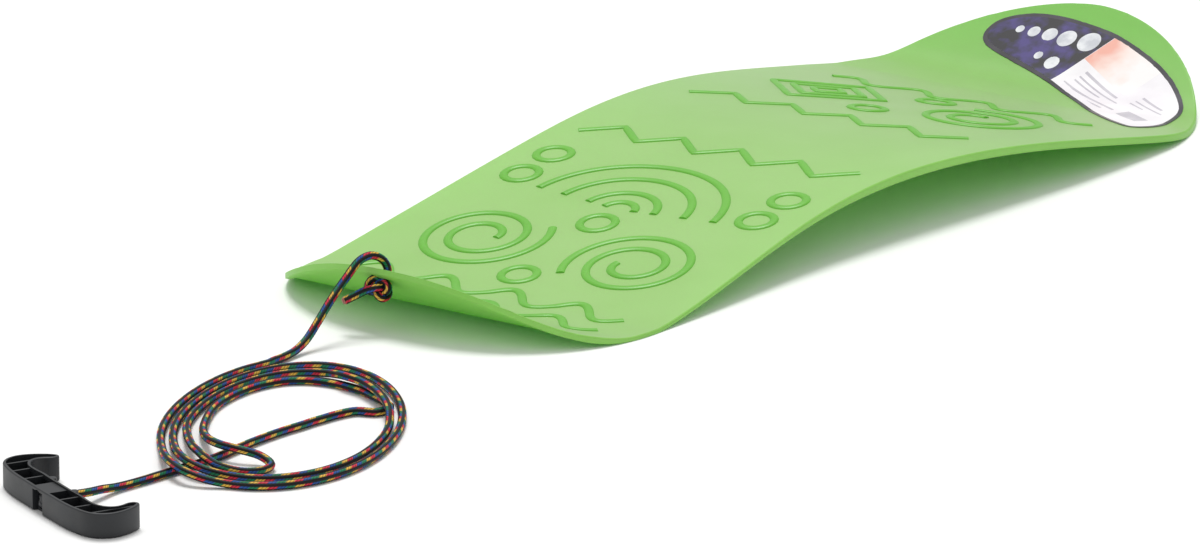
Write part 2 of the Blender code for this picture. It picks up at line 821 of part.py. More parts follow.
def build_handle_knot(parts):
    """A stopper knot in the handle's pocket. It is round about the rope, so the handle can spin."""
    start = HANDLE_KNOT_GAP
    stub_end = HANDLE_POCKET_DEPTH + HANDLE_KNOT_STUB
    first = start + ROPE_RADIUS
    second = first + HANDLE_KNOT_SHIFT
    profile = [(0.0, start)]
    for centre, ends in ((first, HANDLE_KNOT_FIRST_ARC), (second, HANDLE_KNOT_SECOND_ARC)):
        for angle in np.linspace(*ends, KNOT_ARC_PLACES):
            out = HANDLE_KNOT_RING + ROPE_RADIUS * math.cos(angle)
            profile.append((out, centre + ROPE_RADIUS * math.sin(angle)))
    profile += [(ROPE_RADIUS, second + ROPE_RADIUS), (ROPE_RADIUS, stub_end), (0.0, stub_end)]
    corners = [(out, 0.0, -place) for out, place in profile]
    mesh = bpy.data.meshes.new("handle_knot")
    mesh.from_pydata(corners, [(i, i + 1) for i in range(len(corners) - 1)], [])
    knot = bpy.data.objects.new("handle_knot", mesh)
    parts.objects.link(knot)
    turn = knot.modifiers.new("turn", "SCREW")
    turn.steps = ROUND_SIDES
    turn.render_steps = ROUND_SIDES
    turn.use_merge_vertices = True
    turn.merge_threshold = WELD
    knot.location = handle_point(0.0, 0.0, HANDLE_HEIGHT / 2.0)
    knot.rotation_euler = (math.pi / 2.0, 0.0, HANDLE_TURN)


def handle_plan():
    """The handle's plan outline: the half outline and its mirror image, made smooth."""
    half = [(a * HANDLE_HALF_LENGTH, b * HANDLE_DEPTH) for a, b in HANDLE_HALF_SHARES]
    other = [(-a, b) for a, b in half[-2:0:-1]]
    return spline(half + other, True, HANDLE_HALF_LENGTH * HANDLE_PLAN_SHARE)


def build_handle(parts, cutters):
    """The handle, made level about its bore's axis and then turned to its place."""
    plan = handle_plan()
    top = HANDLE_HEIGHT / 2.0
    floor = -top
    body = plate("handle", plan, floor, top, parts)
    round_edges(body, HANDLE_EDGE_RADIUS, 1, top)
    round_edges(body, HANDLE_EDGE_RADIUS, 1, floor)
    hollow = plate("channel_cutter", inset(plan, HANDLE_WALL), floor + HANDLE_WEB, top + CUT_SPARE, cutters)
    # The ribs and the rope block are left standing in the channel.
    standing = [("rope_block", -HANDLE_BLOCK_HALF, HANDLE_BLOCK_HALF)]
    for i, share in enumerate(HANDLE_RIB_SHARES):
        for side in (-1.0, 1.0):
            place = side * share * HANDLE_HALF_LENGTH
            name = f"rib_{i}_{'left' if side < 0.0 else 'right'}"
            standing.append((name, place - HANDLE_RIB / 2.0, place + HANDLE_RIB / 2.0))
    for name, low, high in standing:
        corner = (low, -CUT_SPARE, floor - CUT_SPARE)
        far_corner = (high, HANDLE_DEPTH + CUT_SPARE, top - HANDLE_RIB_DROP)
        boolean(hollow, box(name, corner, far_corner, cutters), "DIFFERENCE")
    bake(hollow)
    for side in (-1.0, 1.0):
        x = side * HANDLE_EAR_PLACE
        y = HANDLE_DEPTH * HANDLE_EAR_BACK_SHARE
        name = "ear_left" if side < 0.0 else "ear_right"
        ear = rod(name, (x, y, floor), (x, y, top), HANDLE_EAR_RADIUS, ROD_SIDES, cutters)
        boolean(body, ear, "UNION")
    boolean(body, hollow, "DIFFERENCE")
    pocket = rod(
        "pocket_cutter",
        (0.0, -CUT_SPARE, 0.0),
        (0.0, HANDLE_POCKET_DEPTH, 0.0),
        HANDLE_POCKET_RADIUS,
        ROUND_SIDES,
        cutters,
    )
    recess = box(
        "recess_cutter",
        (-HANDLE_POCKET_RADIUS, -CUT_SPARE, floor - CUT_SPARE),
        (HANDLE_POCKET_RADIUS, HANDLE_RECESS_DEPTH, top + CUT_SPARE),
        cutters,
    )
    bore = rod(
        "bore_cutter",
        (0.0, HANDLE_POCKET_DEPTH / 2.0, 0.0),
        (0.0, HANDLE_DEPTH, 0.0),
        HANDLE_BORE_RADIUS,
        ROUND_SIDES,
        cutters,
    )
    for cutter in (pocket, recess, bore):
        boolean(body, cutter, "DIFFERENCE")
    bake(body)
    shade(body, HANDLE_SHARP)
    body.location = handle_point(0.0, 0.0, top)
    body.rotation_euler = (0.0, 0.0, HANDLE_TURN)


# The rope.
def tube(name, route, resolution, parts):
    """A rope piece: a round tube with flat ends on a curve."""
    item = curve_object(name, route, False, parts)
    item.data.twist_mode = "MINIMUM"
    item.data.bevel_depth = ROPE_RADIUS
    item.data.bevel_resolution = resolution
    item.data.use_fill_caps = True
    item.data.splines[0].use_smooth = True


def coil_point(angle, turns_in):
    """A place on the coil's egg-shaped oval, which gets smaller with each turn inwards."""
    long_half = COIL_LONG_HALF - COIL_LONG_PITCH * turns_in
    short_half = COIL_SHORT_HALF - COIL_SHORT_PITCH * turns_in
    x = long_half * math.cos(angle)
    y = short_half * math.sin(angle) * (1.0 + COIL_EGG_SHARE * math.cos(angle))
    c = math.cos(COIL_LEAN)
    s = math.sin(COIL_LEAN)
    return (COIL_CENTRE_X + x * c - y * s, COIL_CENTRE_Y + x * s + y * c)


def climb(points, under, fall):
    """How far each point has to rise to pass over another stretch of rope."""
    apart = np.linalg.norm(points[:, None] - under[None], axis=2).min(axis=1)
    return CLIMB_LIFT * (1.0 - smooth_share((apart - CLIMB_TOP) / fall))


def coil_route():
    """The coil from the lead's end: round twice and a bit, then the hairpin, the hook and the return.

    Its turns climb over the run, and the second one also over the hook. A strand that climbs
    moves a little sideways too.
    """
    turn_shares = np.arange(int(COIL_TURNS * COIL_PLACES_PER_TURN) + 1) / COIL_PLACES_PER_TURN
    flat = []
    for share in turn_shares:
        moving = smooth_share((share % 1.0 - COIL_HOLD_SHARE) / (1.0 - COIL_HOLD_SHARE))
        flat.append(coil_point(COIL_START + FULL_TURN * share, math.floor(share) + float(moving)))
    flat = np.array(flat)
    run = spline(RUN_ROUTE, False, ROPE_RADIUS)
    hook = spline(HOOK_ROUTE, False, ROPE_RADIUS)
    moved = flat
    for _ in range(3):
        near_run = moved[:, 1] < CLIMB_LIMIT_Y
        over_run = np.where(near_run, climb(moved, run, CLIMB_FALL_AT_RUN), 0.0)
        over_hook = climb(moved, hook, CLIMB_FALL_AT_HOOK)
        over_hook = np.where(~near_run & (turn_shares > 1.0), over_hook, 0.0)
        lift = np.maximum(over_run, over_hook)
        moved = flat + lift[:, None] * np.array(CLIMB_SIDEWAYS_SHARES)
    rest = np.array(HAIRPIN_ROUTE + HOOK_ROUTE + RETURN_ROUTE)
    rest_lift = np.where(rest[:, 1] < CLIMB_LIMIT_Y, climb(rest, run, CLIMB_FALL_AT_RUN), 0.0)
    points = np.vstack([moved, rest])
    lifts = np.concatenate([lift, rest_lift])
    return spline(np.column_stack([points, ROPE_RADIUS + lifts]), False, COIL_STEP)


def unit_way(start, end):
    return (end - start) / np.linalg.norm(end - start)


def rope_routes():
    """The three stretches of rope, with a small gap between their faces."""
    knot, up, hole = nose_knot_frame()
    coil = coil_route()
    face = FACE_GAP
    bend = FACE_GAP + ROPE_DIAMETER
    way = unit_way(coil[0], coil[1])
    lead = spline([hole + up * ROPE_RADIUS, *LEAD_ROUTE, coil[0] - way * bend], False, ROPE_DIAMETER)
    lead = np.vstack([hole - up * (NOSE_KNOT_STUB - FACE_GAP), lead, coil[0] - way * face])
    way = unit_way(coil[-2], coil[-1])
    flat = [(x, y, ROPE_RADIUS) for x, y in RUN_ROUTE]
    rise = [handle_point(*place) for place in RISE_ROUTE]
    run = spline([coil[-1] + way * bend, *flat, *rise], False, RUN_STEP)
    run[:, 2] = np.maximum(run[:, 2], ROPE_RADIUS)
    stub = handle_point(0.0, HANDLE_POCKET_DEPTH + HANDLE_KNOT_STUB + FACE_GAP, HANDLE_HEIGHT / 2.0)
    run = np.vstack([coil[-1] + way * face, run, stub])
    return {"rope_lead": lead, "rope_coil": coil, "rope_run": run}


def route_length(route):
    return float(np.linalg.norm(np.diff(route, axis=0), axis=1).sum())


def strand_gap(route):
    """Least clear distance between stretches of one rope route that aren't neighbours on it."""
    run = np.concatenate([[0.0], np.cumsum(np.linalg.norm(np.diff(route, axis=0), axis=1))])
    places = np.arange(0.0, run[-1], ROPE_RADIUS / 2.0)
    dense = np.stack([np.interp(places, run, route[:, k]) for k in range(3)], axis=1)
    apart = np.linalg.norm(dense[:, None] - dense[None], axis=2)
    far = np.abs(places[:, None] - places[None]) > NEIGHBOUR_LENGTH
    return float(np.where(far, apart, np.inf).min()) - ROPE_DIAMETER


def build_rope(parts):
    routes = rope_routes()
    for name, route in routes.items():
        tube(name, route, 1 if name == "rope_coil" else 2, parts)
        print(name, "points", len(route), "length", round(route_length(route), 4))
    gap = strand_gap(routes["rope_coil"])
    print(f"coil's least gap to itself: {gap * 1000:.2f} mm")
    if gap < STRAND_GAP_LEAST:
        print("the coil is too close to itself")


def main():
    clear_scene()
    parts = bpy.data.collections.new("sled")
    cutters = bpy.data.collections.new("cutters")
    bpy.context.scene.collection.children.link(parts)
    bpy.context.scene.collection.children.link(cutters)
    build_board(parts, cutters)
    build_label(parts)
    build_rope(parts)
    build_nose_knot(parts, cutters)
    build_handle_knot(parts)
    build_handle(parts, cutters)
    rope = material("black braided rope", (0.02, 0.02, 0.025), 0.8)
    finishes = {
        "board": material("green moulded plastic", (0.36, 0.68, 0.22), 0.42),
        "label": material("printed label", (0.80, 0.79, 0.84), 0.35),
        "nose_knot": rope,
        "rope_lead": rope,
        "rope_coil": rope,
        "rope_run": rope,
        "handle_knot": rope,
        "handle": material("dark grey moulded plastic", (0.035, 0.04, 0.045), 0.5),
    }
    for name, finish in finishes.items():
        data = bpy.data.objects[name].data
        data.materials.clear()
        data.materials.append(finish)


main()
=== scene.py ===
"""A moulded plastic snowboard sled with its braided tow rope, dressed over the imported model.

Metres, Z up. The nose points to -Y, the tail to +Y, and X runs across the board.
"""

import contextlib
import math
import bmesh
import bpy
import numpy as np
from mathutils import Matrix, Vector
from numpy.linalg import norm


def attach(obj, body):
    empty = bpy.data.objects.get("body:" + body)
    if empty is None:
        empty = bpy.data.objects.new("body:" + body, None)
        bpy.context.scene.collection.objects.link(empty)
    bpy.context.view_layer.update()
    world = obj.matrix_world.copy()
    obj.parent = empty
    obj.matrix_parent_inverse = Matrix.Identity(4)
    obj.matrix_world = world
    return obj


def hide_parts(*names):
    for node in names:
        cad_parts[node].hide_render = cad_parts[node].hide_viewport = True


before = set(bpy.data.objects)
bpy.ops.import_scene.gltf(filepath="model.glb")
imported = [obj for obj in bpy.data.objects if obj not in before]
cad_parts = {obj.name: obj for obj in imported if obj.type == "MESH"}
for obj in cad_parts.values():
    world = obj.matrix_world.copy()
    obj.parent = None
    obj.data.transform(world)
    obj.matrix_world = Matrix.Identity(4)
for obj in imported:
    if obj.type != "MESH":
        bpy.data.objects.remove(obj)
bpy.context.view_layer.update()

ABOVE = np.array([0.0, 0.0, 1.0])

# The part's own sizes: the board, with lengths along it from the front rest line.
REST_SPACING = 0.672
REST_FLAT = 0.01
NOSE_REACH = 0.105
NOSE_RISE = 0.0416
NOSE_BLEND = 0.1423
TAIL_REACH = 0.112
TAIL_RISE = 0.0456
TAIL_BLEND = 0.0385
ARCH_RISE = 0.0405
NOSE_HALF_WIDTH = 0.15
WAIST_HALF_WIDTH = 0.1405
TAIL_HALF_WIDTH = 0.169
WAIST_PLACE = 0.229
NOSE_CORNER = 0.01
TAIL_CORNER = 0.0495
SHEET = 0.003
RIM_WALL = 0.0035
# Where an outline is drawn in, a sharp corner moves no further than this lean allows.
LEAN_LEAST = 0.5
TOP_EDGE_RADIUS = 0.0015
CAVITY_OVERSHOOT = 0.01
ARCH_POWER = 1.2
NOSE_ROUND_POWER = 2.3
TAIL_ROUND_POWER = 1.82
# Stops along the down-turned edge: the place and the edge's height there.
EDGE_STOPS = (
    (-NOSE_REACH, 0.005), (-0.05, 0.005), (-0.012, 0.0027), (0.095, 0.0027),
    (REST_SPACING / 2.0, 0.006), (REST_SPACING, 0.0052), (REST_SPACING + TAIL_REACH, 0.005),
)
BLANK_DEPTH = 0.018
BLANK_SPLIT = 0.012
HOLE_X = -0.009
HOLE_FROM_TIP = 0.0095
HOLE_RADIUS = 0.004
HOLE_CUT_LENGTH = 0.014

# Its raised lines, with the motifs' sizes and places as shares of their half width.
LINE_WIDTH = 0.0064
LINE_HEIGHT = 0.0014
LINE_ROOT = 0.0006
MOTIF_MARGIN = 0.0225
MOTIF_HALF = WAIST_HALF_WIDTH - MOTIF_MARGIN
RING_SHARE = 0.11
SPIRAL_SHARE = 0.432
SWING_SHARE = 0.097
ARCH_SHARES = (0.11, 0.246, 0.454, 0.661)
DIAMOND_SHARES = (0.432, 0.276, 0.121)
FRONT_WAVE_SHARES = (-0.166, 0.093)
FRONT_SPIRAL_SHARES = ((-0.568, 0.764), (0.568, 0.764))
FRONT_ARCH_SHARE = 1.383
FRONT_RING_SHARES = (
    (0.0, 0.39), (0.0, 1.179), (-0.89, 1.591), (0.89, 1.591), (-0.89, 1.923),
    (0.89, 1.923),
)
FRONT_ZIGZAG_SHARE = 2.421
REAR_ZIGZAG_SHARE = 2.155
REAR_SPIRAL_SHARES = (0.568, 1.345)
REAR_DIAMOND_SHARES = (-0.568, 1.345)
REAR_RING_SHARES = ((0.0, 0.971), (0.0, 1.719))
REAR_WAVE_SHARE = 0.69
SPIRAL_TURNS = 2.1
ARCH_END = 0.12
WAVE_SWINGS = 4
ZIGZAG_STROKES = 9
LINE_STEP = 0.004
STROKE_STEP = 0.006
WAVE_PLACES = 80
ARC_PLACES_LEAST = 12
LINE_PROFILE_PLACES = 8

# Its label.
LABEL_GAP = 0.0003
LABEL_LENGTH = 0.24
LABEL_DEPTH = 0.073
LABEL_TURN = math.radians(-27.0)
LABEL_X = 0.0298
LABEL_FROM_TAIL = 0.1068
LABEL_U = REST_SPACING + TAIL_REACH - LABEL_FROM_TAIL
LABEL_SHARES = (
    (0.03, 0.01), (0.38, 0.16), (0.9, -0.04), (0.985, 0.0), (0.985, 0.23), (0.945, 0.49),
    (0.89, 0.73), (0.82, 0.93), (0.72, 1.04), (0.6, 1.08), (0.48, 1.06), (0.35, 1.0),
    (0.24, 0.89), (0.14, 0.76), (0.06, 0.61), (0.0, 0.42), (-0.025, 0.24), (-0.01, 0.07),
)

# Its rope and knots. The rise is in lengths along the handle, back from its outer wall and up.
ROPE_RADIUS = 0.003
ROPE_DIAMETER = 2.0 * ROPE_RADIUS
FACE_GAP = 0.0003
COIL_CENTRE_X = 0.0783
COIL_CENTRE_Y = -0.6577
COIL_LONG_HALF = 0.1471
COIL_SHORT_HALF = 0.0805
COIL_LONG_PITCH = 0.0165
COIL_SHORT_PITCH = 0.0078
COIL_LEAN = math.radians(-60.8)
COIL_EGG_SHARE = 0.0616
COIL_START = math.radians(209.7)
COIL_TURNS = 2.2
COIL_HOLD_SHARE = 0.5
COIL_PLACES_PER_TURN = 56
COIL_STEP = 0.015
RUN_STEP = 0.0135
CLIMB_LIFT = 0.007
CLIMB_TOP = 0.0065
CLIMB_FALL_AT_RUN = 0.045
CLIMB_FALL_AT_HOOK = 0.034
CLIMB_LIMIT_Y = -0.7
CLIMB_SIDEWAYS_SHARES = (1.85, -2.48)
CLIMB_PASSES = 3
NOSE_KNOT_DROP = 0.0106
NOSE_KNOT_FORWARD = 0.0035
NOSE_KNOT_LEAN = math.radians(15.0)
NOSE_KNOT_STUB = 0.0033
HANDLE_KNOT_STUB = 0.0015
LEAD_ROUTE = (
    (-0.0113, -0.431, 0.044), (-0.0138, -0.4345, 0.05), (-0.0168, -0.4425, 0.0533),
    (-0.0192, -0.452, 0.0512), (-0.0207, -0.463, 0.043), (-0.0203, -0.4845, 0.0285),
    (-0.0193, -0.4995, 0.0175), (-0.0187, -0.5125, 0.0085), (-0.0179, -0.525, 0.0042),
    (-0.0168, -0.539, 0.0031), (-0.0167, -0.553, 0.003),
)
HAIRPIN_ROUTE = (
    (0.0744, -0.7536), (0.0911, -0.7662), (0.1062, -0.7745), (0.118, -0.7752),
    (0.128, -0.77), (0.135, -0.761), (0.1362, -0.7505), (0.132, -0.7415),
    (0.123, -0.7385), (0.112, -0.7415), (0.101, -0.744), (0.0875, -0.743),
    (0.075, -0.7365), (0.061, -0.7235), (0.0487, -0.7101), (0.0341, -0.6894),
    (0.0207, -0.6648), (0.014, -0.644), (0.011, -0.622), (0.0125, -0.6),
    (0.0213, -0.5813), (0.0386, -0.5705),
)
HOOK_ROUTE = (
    (0.0627, -0.569), (0.076, -0.5712), (0.0892, -0.576), (0.102, -0.5815),
    (0.113, -0.5882), (0.118, -0.597), (0.114, -0.605), (0.106, -0.6075),
)
RETURN_ROUTE = ((0.1, -0.614), (0.0965, -0.626), (0.0945, -0.64))
RUN_ROUTE = (
    (0.093, -0.655), (0.0905, -0.678), (0.0899, -0.7003), (0.0903, -0.717),
    (0.0915, -0.7345), (0.0921, -0.7477), (0.0918, -0.7629), (0.09, -0.776),
    (0.088, -0.7925), (0.0865, -0.8084), (0.0843, -0.8261), (0.0821, -0.8391),
)
RISE_ROUTE = ((-0.0115, 0.056, 0.0052), (-0.004, 0.0415, 0.0072), (0.0, 0.0275, 0.0085))

# Its handle: the origin is on the bore's axis, on the outer wall's face.
HANDLE_HALF_LENGTH = 0.0735
HANDLE_DEPTH = 0.045
HANDLE_HEIGHT = 0.017
HANDLE_WALL = 0.0021
HANDLE_WEB = 0.0022
HANDLE_RIB = 0.0018
HANDLE_RIB_DROP = 0.0012
HANDLE_BORE_RADIUS = 0.0037
HANDLE_POCKET_RADIUS = 0.0072
HANDLE_POCKET_DEPTH = 0.013
HANDLE_RECESS_DEPTH = 0.0036
HANDLE_RIM = 0.0022
HANDLE_BLOCK_HALF = 0.0105
HANDLE_EAR_PLACE = 0.0165
HANDLE_EAR_RADIUS = 0.003
HANDLE_EAR_BACK_SHARE = 0.42
HANDLE_RIB_SHARES = (0.36, 0.62, 0.84)
HANDLE_X = 0.069
HANDLE_Y = -0.9088
HANDLE_TURN = math.radians(-24.5)
CUT_SPARE = 0.01
HANDLE_HALF_SHARES = (
    (0.0, 0.0), (0.27, 0.004), (0.52, 0.012), (0.7, 0.045), (0.86, 0.115), (0.95, 0.235),
    (0.995, 0.42), (0.985, 0.6), (0.935, 0.8), (0.88, 0.93), (0.825, 1.0), (0.775, 0.965),
    (0.765, 0.86), (0.795, 0.74), (0.805, 0.63), (0.77, 0.52), (0.68, 0.435), (0.53, 0.415),
    (0.38, 0.43), (0.2, 0.42), (0.0, 0.42),
)

# How finely round things are divided here, and how near counts as the same.
SPLINE_PLACES = 24
ROUND_SIDES = 40
TIP_PLACES = 44
SIDE_PLACES = (30, 44)
NOSE_STATIONS = 36
ARCH_STATIONS = 110
TAIL_STATIONS = 36
EDGE_SEGMENTS = 3
ROUND_PROFILE = 0.5
HANDLE_PLAN_SHARE = 0.03
HANDLE_EDGE_RADIUS = 0.0009
WELD = 0.00001
STATION_SNAP = 0.0003
SLOPE_STEP = 0.0003
ROPE_STEP = 0.0008
BOARD_SHARP = math.radians(40.0)
HANDLE_SHARP = math.radians(35.0)

# The braid: lengthwise rows, every other one coloured, of short slanted stitches.
BRAID_SIDES = 24
BRAID_ROWS = 8
STITCH_LENGTH = 0.0024
COLOUR_REPEAT = 0.024
BRAID_RELIEF_SHARE = 0.09
BRAID_TWIST = 4.2
STITCH_LEAN = 1.0
ROW_OFFSET_SHARE = 0.37
# Its cut end, melted and drawn in.
MELTED_LENGTH = 0.0024
MELTED_DRAW = 0.6

# The knots' lines, as lengths to the right, up and towards the near side.
KNOT_CUT = 0.5
KNOT_PLACES = 40
NOSE_KNOT_RIGHT = (0.8, 0.6, 0.0)
NOSE_KNOT_WIDE = 0.0019
NOSE_KNOT_DEEP = 0.0036
NOSE_KNOT_ASIDE = 0.0022
NOSE_KNOT_STRETCH = 1.4
NOSE_KNOT_ENTRY = (
    (-0.002, 0.0068, -0.0058), (-0.0058, 0.0034, -0.0062), (-0.0064, -0.0012, -0.0052),
)
NOSE_KNOT_TAIL = (
    (-0.0085, 0.0005, 0.0032), (-0.0135, -0.0022, 0.0026), (-0.019, -0.0052, 0.0018),
    (-0.024, -0.008, 0.001),
)
HANDLE_KNOT_PLACE = 0.0068
HANDLE_KNOT_WIDE = 0.0011
HANDLE_KNOT_DEEP = 0.0028
HANDLE_KNOT_SKIP = 3

# The label's layers, and its printed fields as shares: from and to along it, from and to across it.
LABEL_BACKING = 0.00025
LABEL_PRINT = 0.00004
LABEL_BORDER = 0.0034
LABEL_MARGIN = 0.009
LABEL_STEP = 0.003
LABEL_POINT_GAP = 0.0004
LABEL_BARS = (
    (0.68, 0.8, 0.7, 0.73), (0.68, 0.84, 0.62, 0.64), (0.68, 0.76, 0.55, 0.57),
    (0.42, 0.62, 0.5, 0.53), (0.42, 0.66, 0.43, 0.45), (0.42, 0.58, 0.37, 0.39),
    (0.4, 0.72, 0.27, 0.3), (0.4, 0.68, 0.2, 0.225), (0.76, 0.88, 0.24, 0.4),
)
LABEL_WHOLE = (-1.0, 2.0, -1.0, 2.0)
LABEL_PICTURE = (-1.0, 0.36, -1.0, 2.0)
LABEL_WASH = (0.362, 0.62, 0.6, 2.0)
# Its plain inks: the print's name, two colours with their places in the ink's clouds, and the
# clouds' repeats to the metre. All are even from afar, with a faint mottle of the press near by.
LABEL_INKS = {
    # A soft dark rim round the print.
    "label_backing": ("dark grey", (0.35, "#19171D"), (0.65, "#3A3640"), 40.0),
    # Paper white, a little warm.
    "label_face": ("white", (0.35, "#EFEAEF"), (0.65, "#FAF7FA"), 30.0),
    # Pale grey, like print seen from some way off.
    "label_printed_bars": ("light grey", (0.35, "#BDB8C2"), (0.65, "#CFCBD3"), 60.0),
    # Slow clouds of black and violet, a plain pattern.
    "label_picture": ("black and violet", (0.42, "#131018"), (0.62, "#43347E"), 55.0),
    # Cool silver, which stands out from the dark clouds.
    "label_discs": ("silver grey", (0.35, "#C9CBD3"), (0.65, "#EFF0F4"), 90.0),
}
# The orange wash: its colours along the label, and how much its grain moves them.
LABEL_WASH_STOPS = ((0.0, "#F4B09F"), (0.35, "#FAE2DA"), (0.7, "#FAF6F6"))
LABEL_WASH_GRAIN = 0.8
# Along, across and radius.
LABEL_DISCS = (
    (0.07, 0.36, 0.0035), (0.118, 0.44, 0.005), (0.172, 0.53, 0.0062), (0.234, 0.62, 0.0078),
    (0.308, 0.75, 0.0092), (0.29, 0.34, 0.006), (0.225, 0.3, 0.0036),
)
DISC_PLACES = 40

# The board's skin: its greens, its pale bloom, the places between which its green goes over to a
# deeper one towards the upturned tail (painted shade there), how level a face of the blank is to be
# textured and take the paler top green, and the light let through.
# Painted light: the level top's greens are paler, for the sheen of the light on it, and the raised
# lines' greens are deeper, painted shade. The edges and underside keep the plain green.
TOP_SHEEN_GREENS = ("#B0E082", "#B6E38A")
# Painted shade: the deeper green that the board goes over to on its upturned tail.
TAIL_SHADE_GREEN = "#86CA50"
EDGE_GREENS = ("#9CD866", "#A4DE6E")
LINE_SHADE_GREENS = ("#7ACC44", "#82D24C")
BOARD_BLOOM = 0.8
BLOOM_SPREAD = 0.25
BLOOM_TINT = "#FFF6F0"
TAIL_SHADE_PLACES = (0.3, 0.43)
TEXTURED_SLOPE = 0.99
LIGHT_THROUGH = 0.28
THROUGH_GREEN = "#8CE85A"
SCUFF_ROUGHNESS = (0.33, 0.38)

# The other colours.
YARN_COLOURS = ("#F3C24A", "#DE2E45", "#2458A6", "#17835A")
YARN_BLACK = "#050507"
YARN_SHADE = "#060607"
MELTED_TINTS = ("#7A3A34", "#C07A68")
# Painted shade: dull dark greys for the knot deep in the handle's pocket, in place of its braid's
# colours.
POCKET_SHADE_TINTS = ("#15161A", "#24262B")
HANDLE_GREYS = ("#191B1E", "#202327")
HANDLE_ROUGHNESS = (0.42, 0.52)
FLOOR_WHITES = ("#FAFAF9", "#FCFCFB")
WHITE = (1.0, 1.0, 1.0, 1.0)

# Patterns, in repeats to the metre: 70 mm down to 0.6 mm.
FLOW_REPEATS = 14.0
SCUFF_REPEATS = 45.0
PEEL_REPEATS = 850.0
FIBRE_REPEATS = 900.0
BEAD_REPEATS = 600.0
HANDLE_CLOUD_REPEATS = 60.0
HANDLE_GRAIN_REPEATS = 1600.0
WASH_REPEATS = 55.0
PAPER_REPEATS = 3.0
# The places in their clouds between which one tint or gloss goes over to another.
WIDE_CLOUD = (0.3, 0.7)
CLOSE_CLOUD = (0.35, 0.65)
# Relief too fine for a mesh: how strongly it shows, and its height in metres.
PEEL_RELIEF = (0.12, 0.0002)
STITCH_RELIEF = (0.6, 0.0003)
GRAIN_RELIEF = (0.25, 0.0001)
# The fibres' share in the rope's relief, the rise of a stitch from which it is in full light, and
# the light that is left at its foot.
FIBRE_SHARE = 0.15
LIT_RISE = 0.95
SHADE_SHARE = 0.02

# How strongly the plastics and the film bend light, and how rough their skins are to it.
POLYETHYLENE_IOR = 1.51
POLYPROPYLENE_IOR = 1.49
FILM_IOR = 1.5
FILM_ROUGHNESS = 0.3
YARN_ROUGHNESS = 0.55
YARN_SHINE = 0.3
MELTED_ROUGHNESS = 0.35
PAPER_ROUGHNESS = 0.9

# Camera, floor and light.
CAMERA_PLACE = (4.1107, -5.7147, 1.9855)
CAMERA_FORWARD = (-0.57365, 0.76998, -0.2794)
CAMERA_RIGHT = (0.80191, 0.59745, 0.0)
CAMERA_UP = (-0.16694, 0.22404, 0.96018)
CAMERA_LENS = 300.0
CAMERA_SENSOR = 36.0
CAMERA_CLIP = 100.0
FLOOR_SIZE = 16.0
FLOOR_GAP = 0.0003
WORLD_STRENGTH = 0.6
LIGHT_WAY = (-0.27, 0.3, 1.0)
LIGHT_SPREAD = 0.4
LIGHT_STRENGTH = 1.95


# The part's own formulas.
def smooth_share(t):
    t = np.clip(t, 0.0, 1.0)
    return t * t * (3.0 - 2.0 * t)


def blend_run(s, blend):
    """Height gained after a distance s by a slope that eases in over blend to one."""
    t = np.clip(s / blend, 0.0, 1.0)
    return blend * (t**3 - t**4 / 2.0) + np.maximum(s - blend, 0.0)


def end_rise(run, rise, reach, blend):
    """Height gained at a run into one of the board's ends, which gains its rise over its reach."""
    return rise * blend_run(run, blend) / blend_run(reach, blend)


def underside(u):
    """Height of the board's lower edge at a place along it."""
    u = np.asarray(u, float)
    arch_share = np.clip((u - REST_FLAT) / (REST_SPACING - 2.0 * REST_FLAT), 0.0, 1.0)
    arch = ARCH_RISE * np.sin(math.pi * arch_share) ** ARCH_POWER
    nose_run = np.maximum(-u - REST_FLAT, 0.0)
    nose = end_rise(nose_run, NOSE_RISE, NOSE_REACH - REST_FLAT, NOSE_BLEND)
    tail_run = np.maximum(u - REST_SPACING - REST_FLAT, 0.0)
    tail = end_rise(tail_run, TAIL_RISE, TAIL_REACH - REST_FLAT, TAIL_BLEND)
    return arch + nose + tail


def edge_height(u):
    """Height of the down-turned edge, which eases from stop to stop."""
    u = np.asarray(u, float)
    found = np.full(u.shape, EDGE_STOPS[0][1])
    for (place, height), (next_place, next_height) in zip(EDGE_STOPS[:-1], EDGE_STOPS[1:]):
        share = smooth_share((u - place) / (next_place - place))
        found = found + (next_height - height) * share
    return found


def topside(u):
    return underside(u) + edge_height(u)


def place_y(u):
    """World Y of a place along the board: the board's middle is at zero."""
    return u - (REST_SPACING + TAIL_REACH - NOSE_REACH) / 2.0


def outline():
    """The board's plan outline as (x, u) points, going round once."""
    tail_u = REST_SPACING - TAIL_CORNER
    angles = np.linspace(0.0, math.pi / 2.0, TIP_PLACES + 1)[1:-1]
    side = [(0.0, -NOSE_REACH)]
    for angle in angles:
        reach = (NOSE_CORNER + NOSE_REACH) * math.cos(angle) ** (2.0 / NOSE_ROUND_POWER)
        x = NOSE_HALF_WIDTH * math.sin(angle) ** (2.0 / NOSE_ROUND_POWER)
        side.append((x, NOSE_CORNER - reach))
    stretches = (
        (NOSE_CORNER, WAIST_PLACE, NOSE_HALF_WIDTH, WAIST_HALF_WIDTH, SIDE_PLACES[0]),
        (WAIST_PLACE, tail_u, WAIST_HALF_WIDTH, TAIL_HALF_WIDTH, SIDE_PLACES[1]),
    )
    for start, end, first, last, places in stretches:
        for u in np.linspace(start, end, places + 1)[:-1]:
            share = smooth_share((u - start) / (end - start))
            side.append((first + (last - first) * share, u))
    side.append((TAIL_HALF_WIDTH, tail_u))
    for angle in angles:
        reach = (TAIL_CORNER + TAIL_REACH) * math.sin(angle) ** (2.0 / TAIL_ROUND_POWER)
        x = TAIL_HALF_WIDTH * math.cos(angle) ** (2.0 / TAIL_ROUND_POWER)
        side.append((x, tail_u + reach))
    side.append((0.0, REST_SPACING + TAIL_REACH))
    other = [(-x, u) for x, u in side[-2:0:-1]]
    return np.array(side + other, float)


def units(ways):
    """Rows of vectors, each brought to a length of one."""
    return ways / norm(ways, axis=1)[:, None]


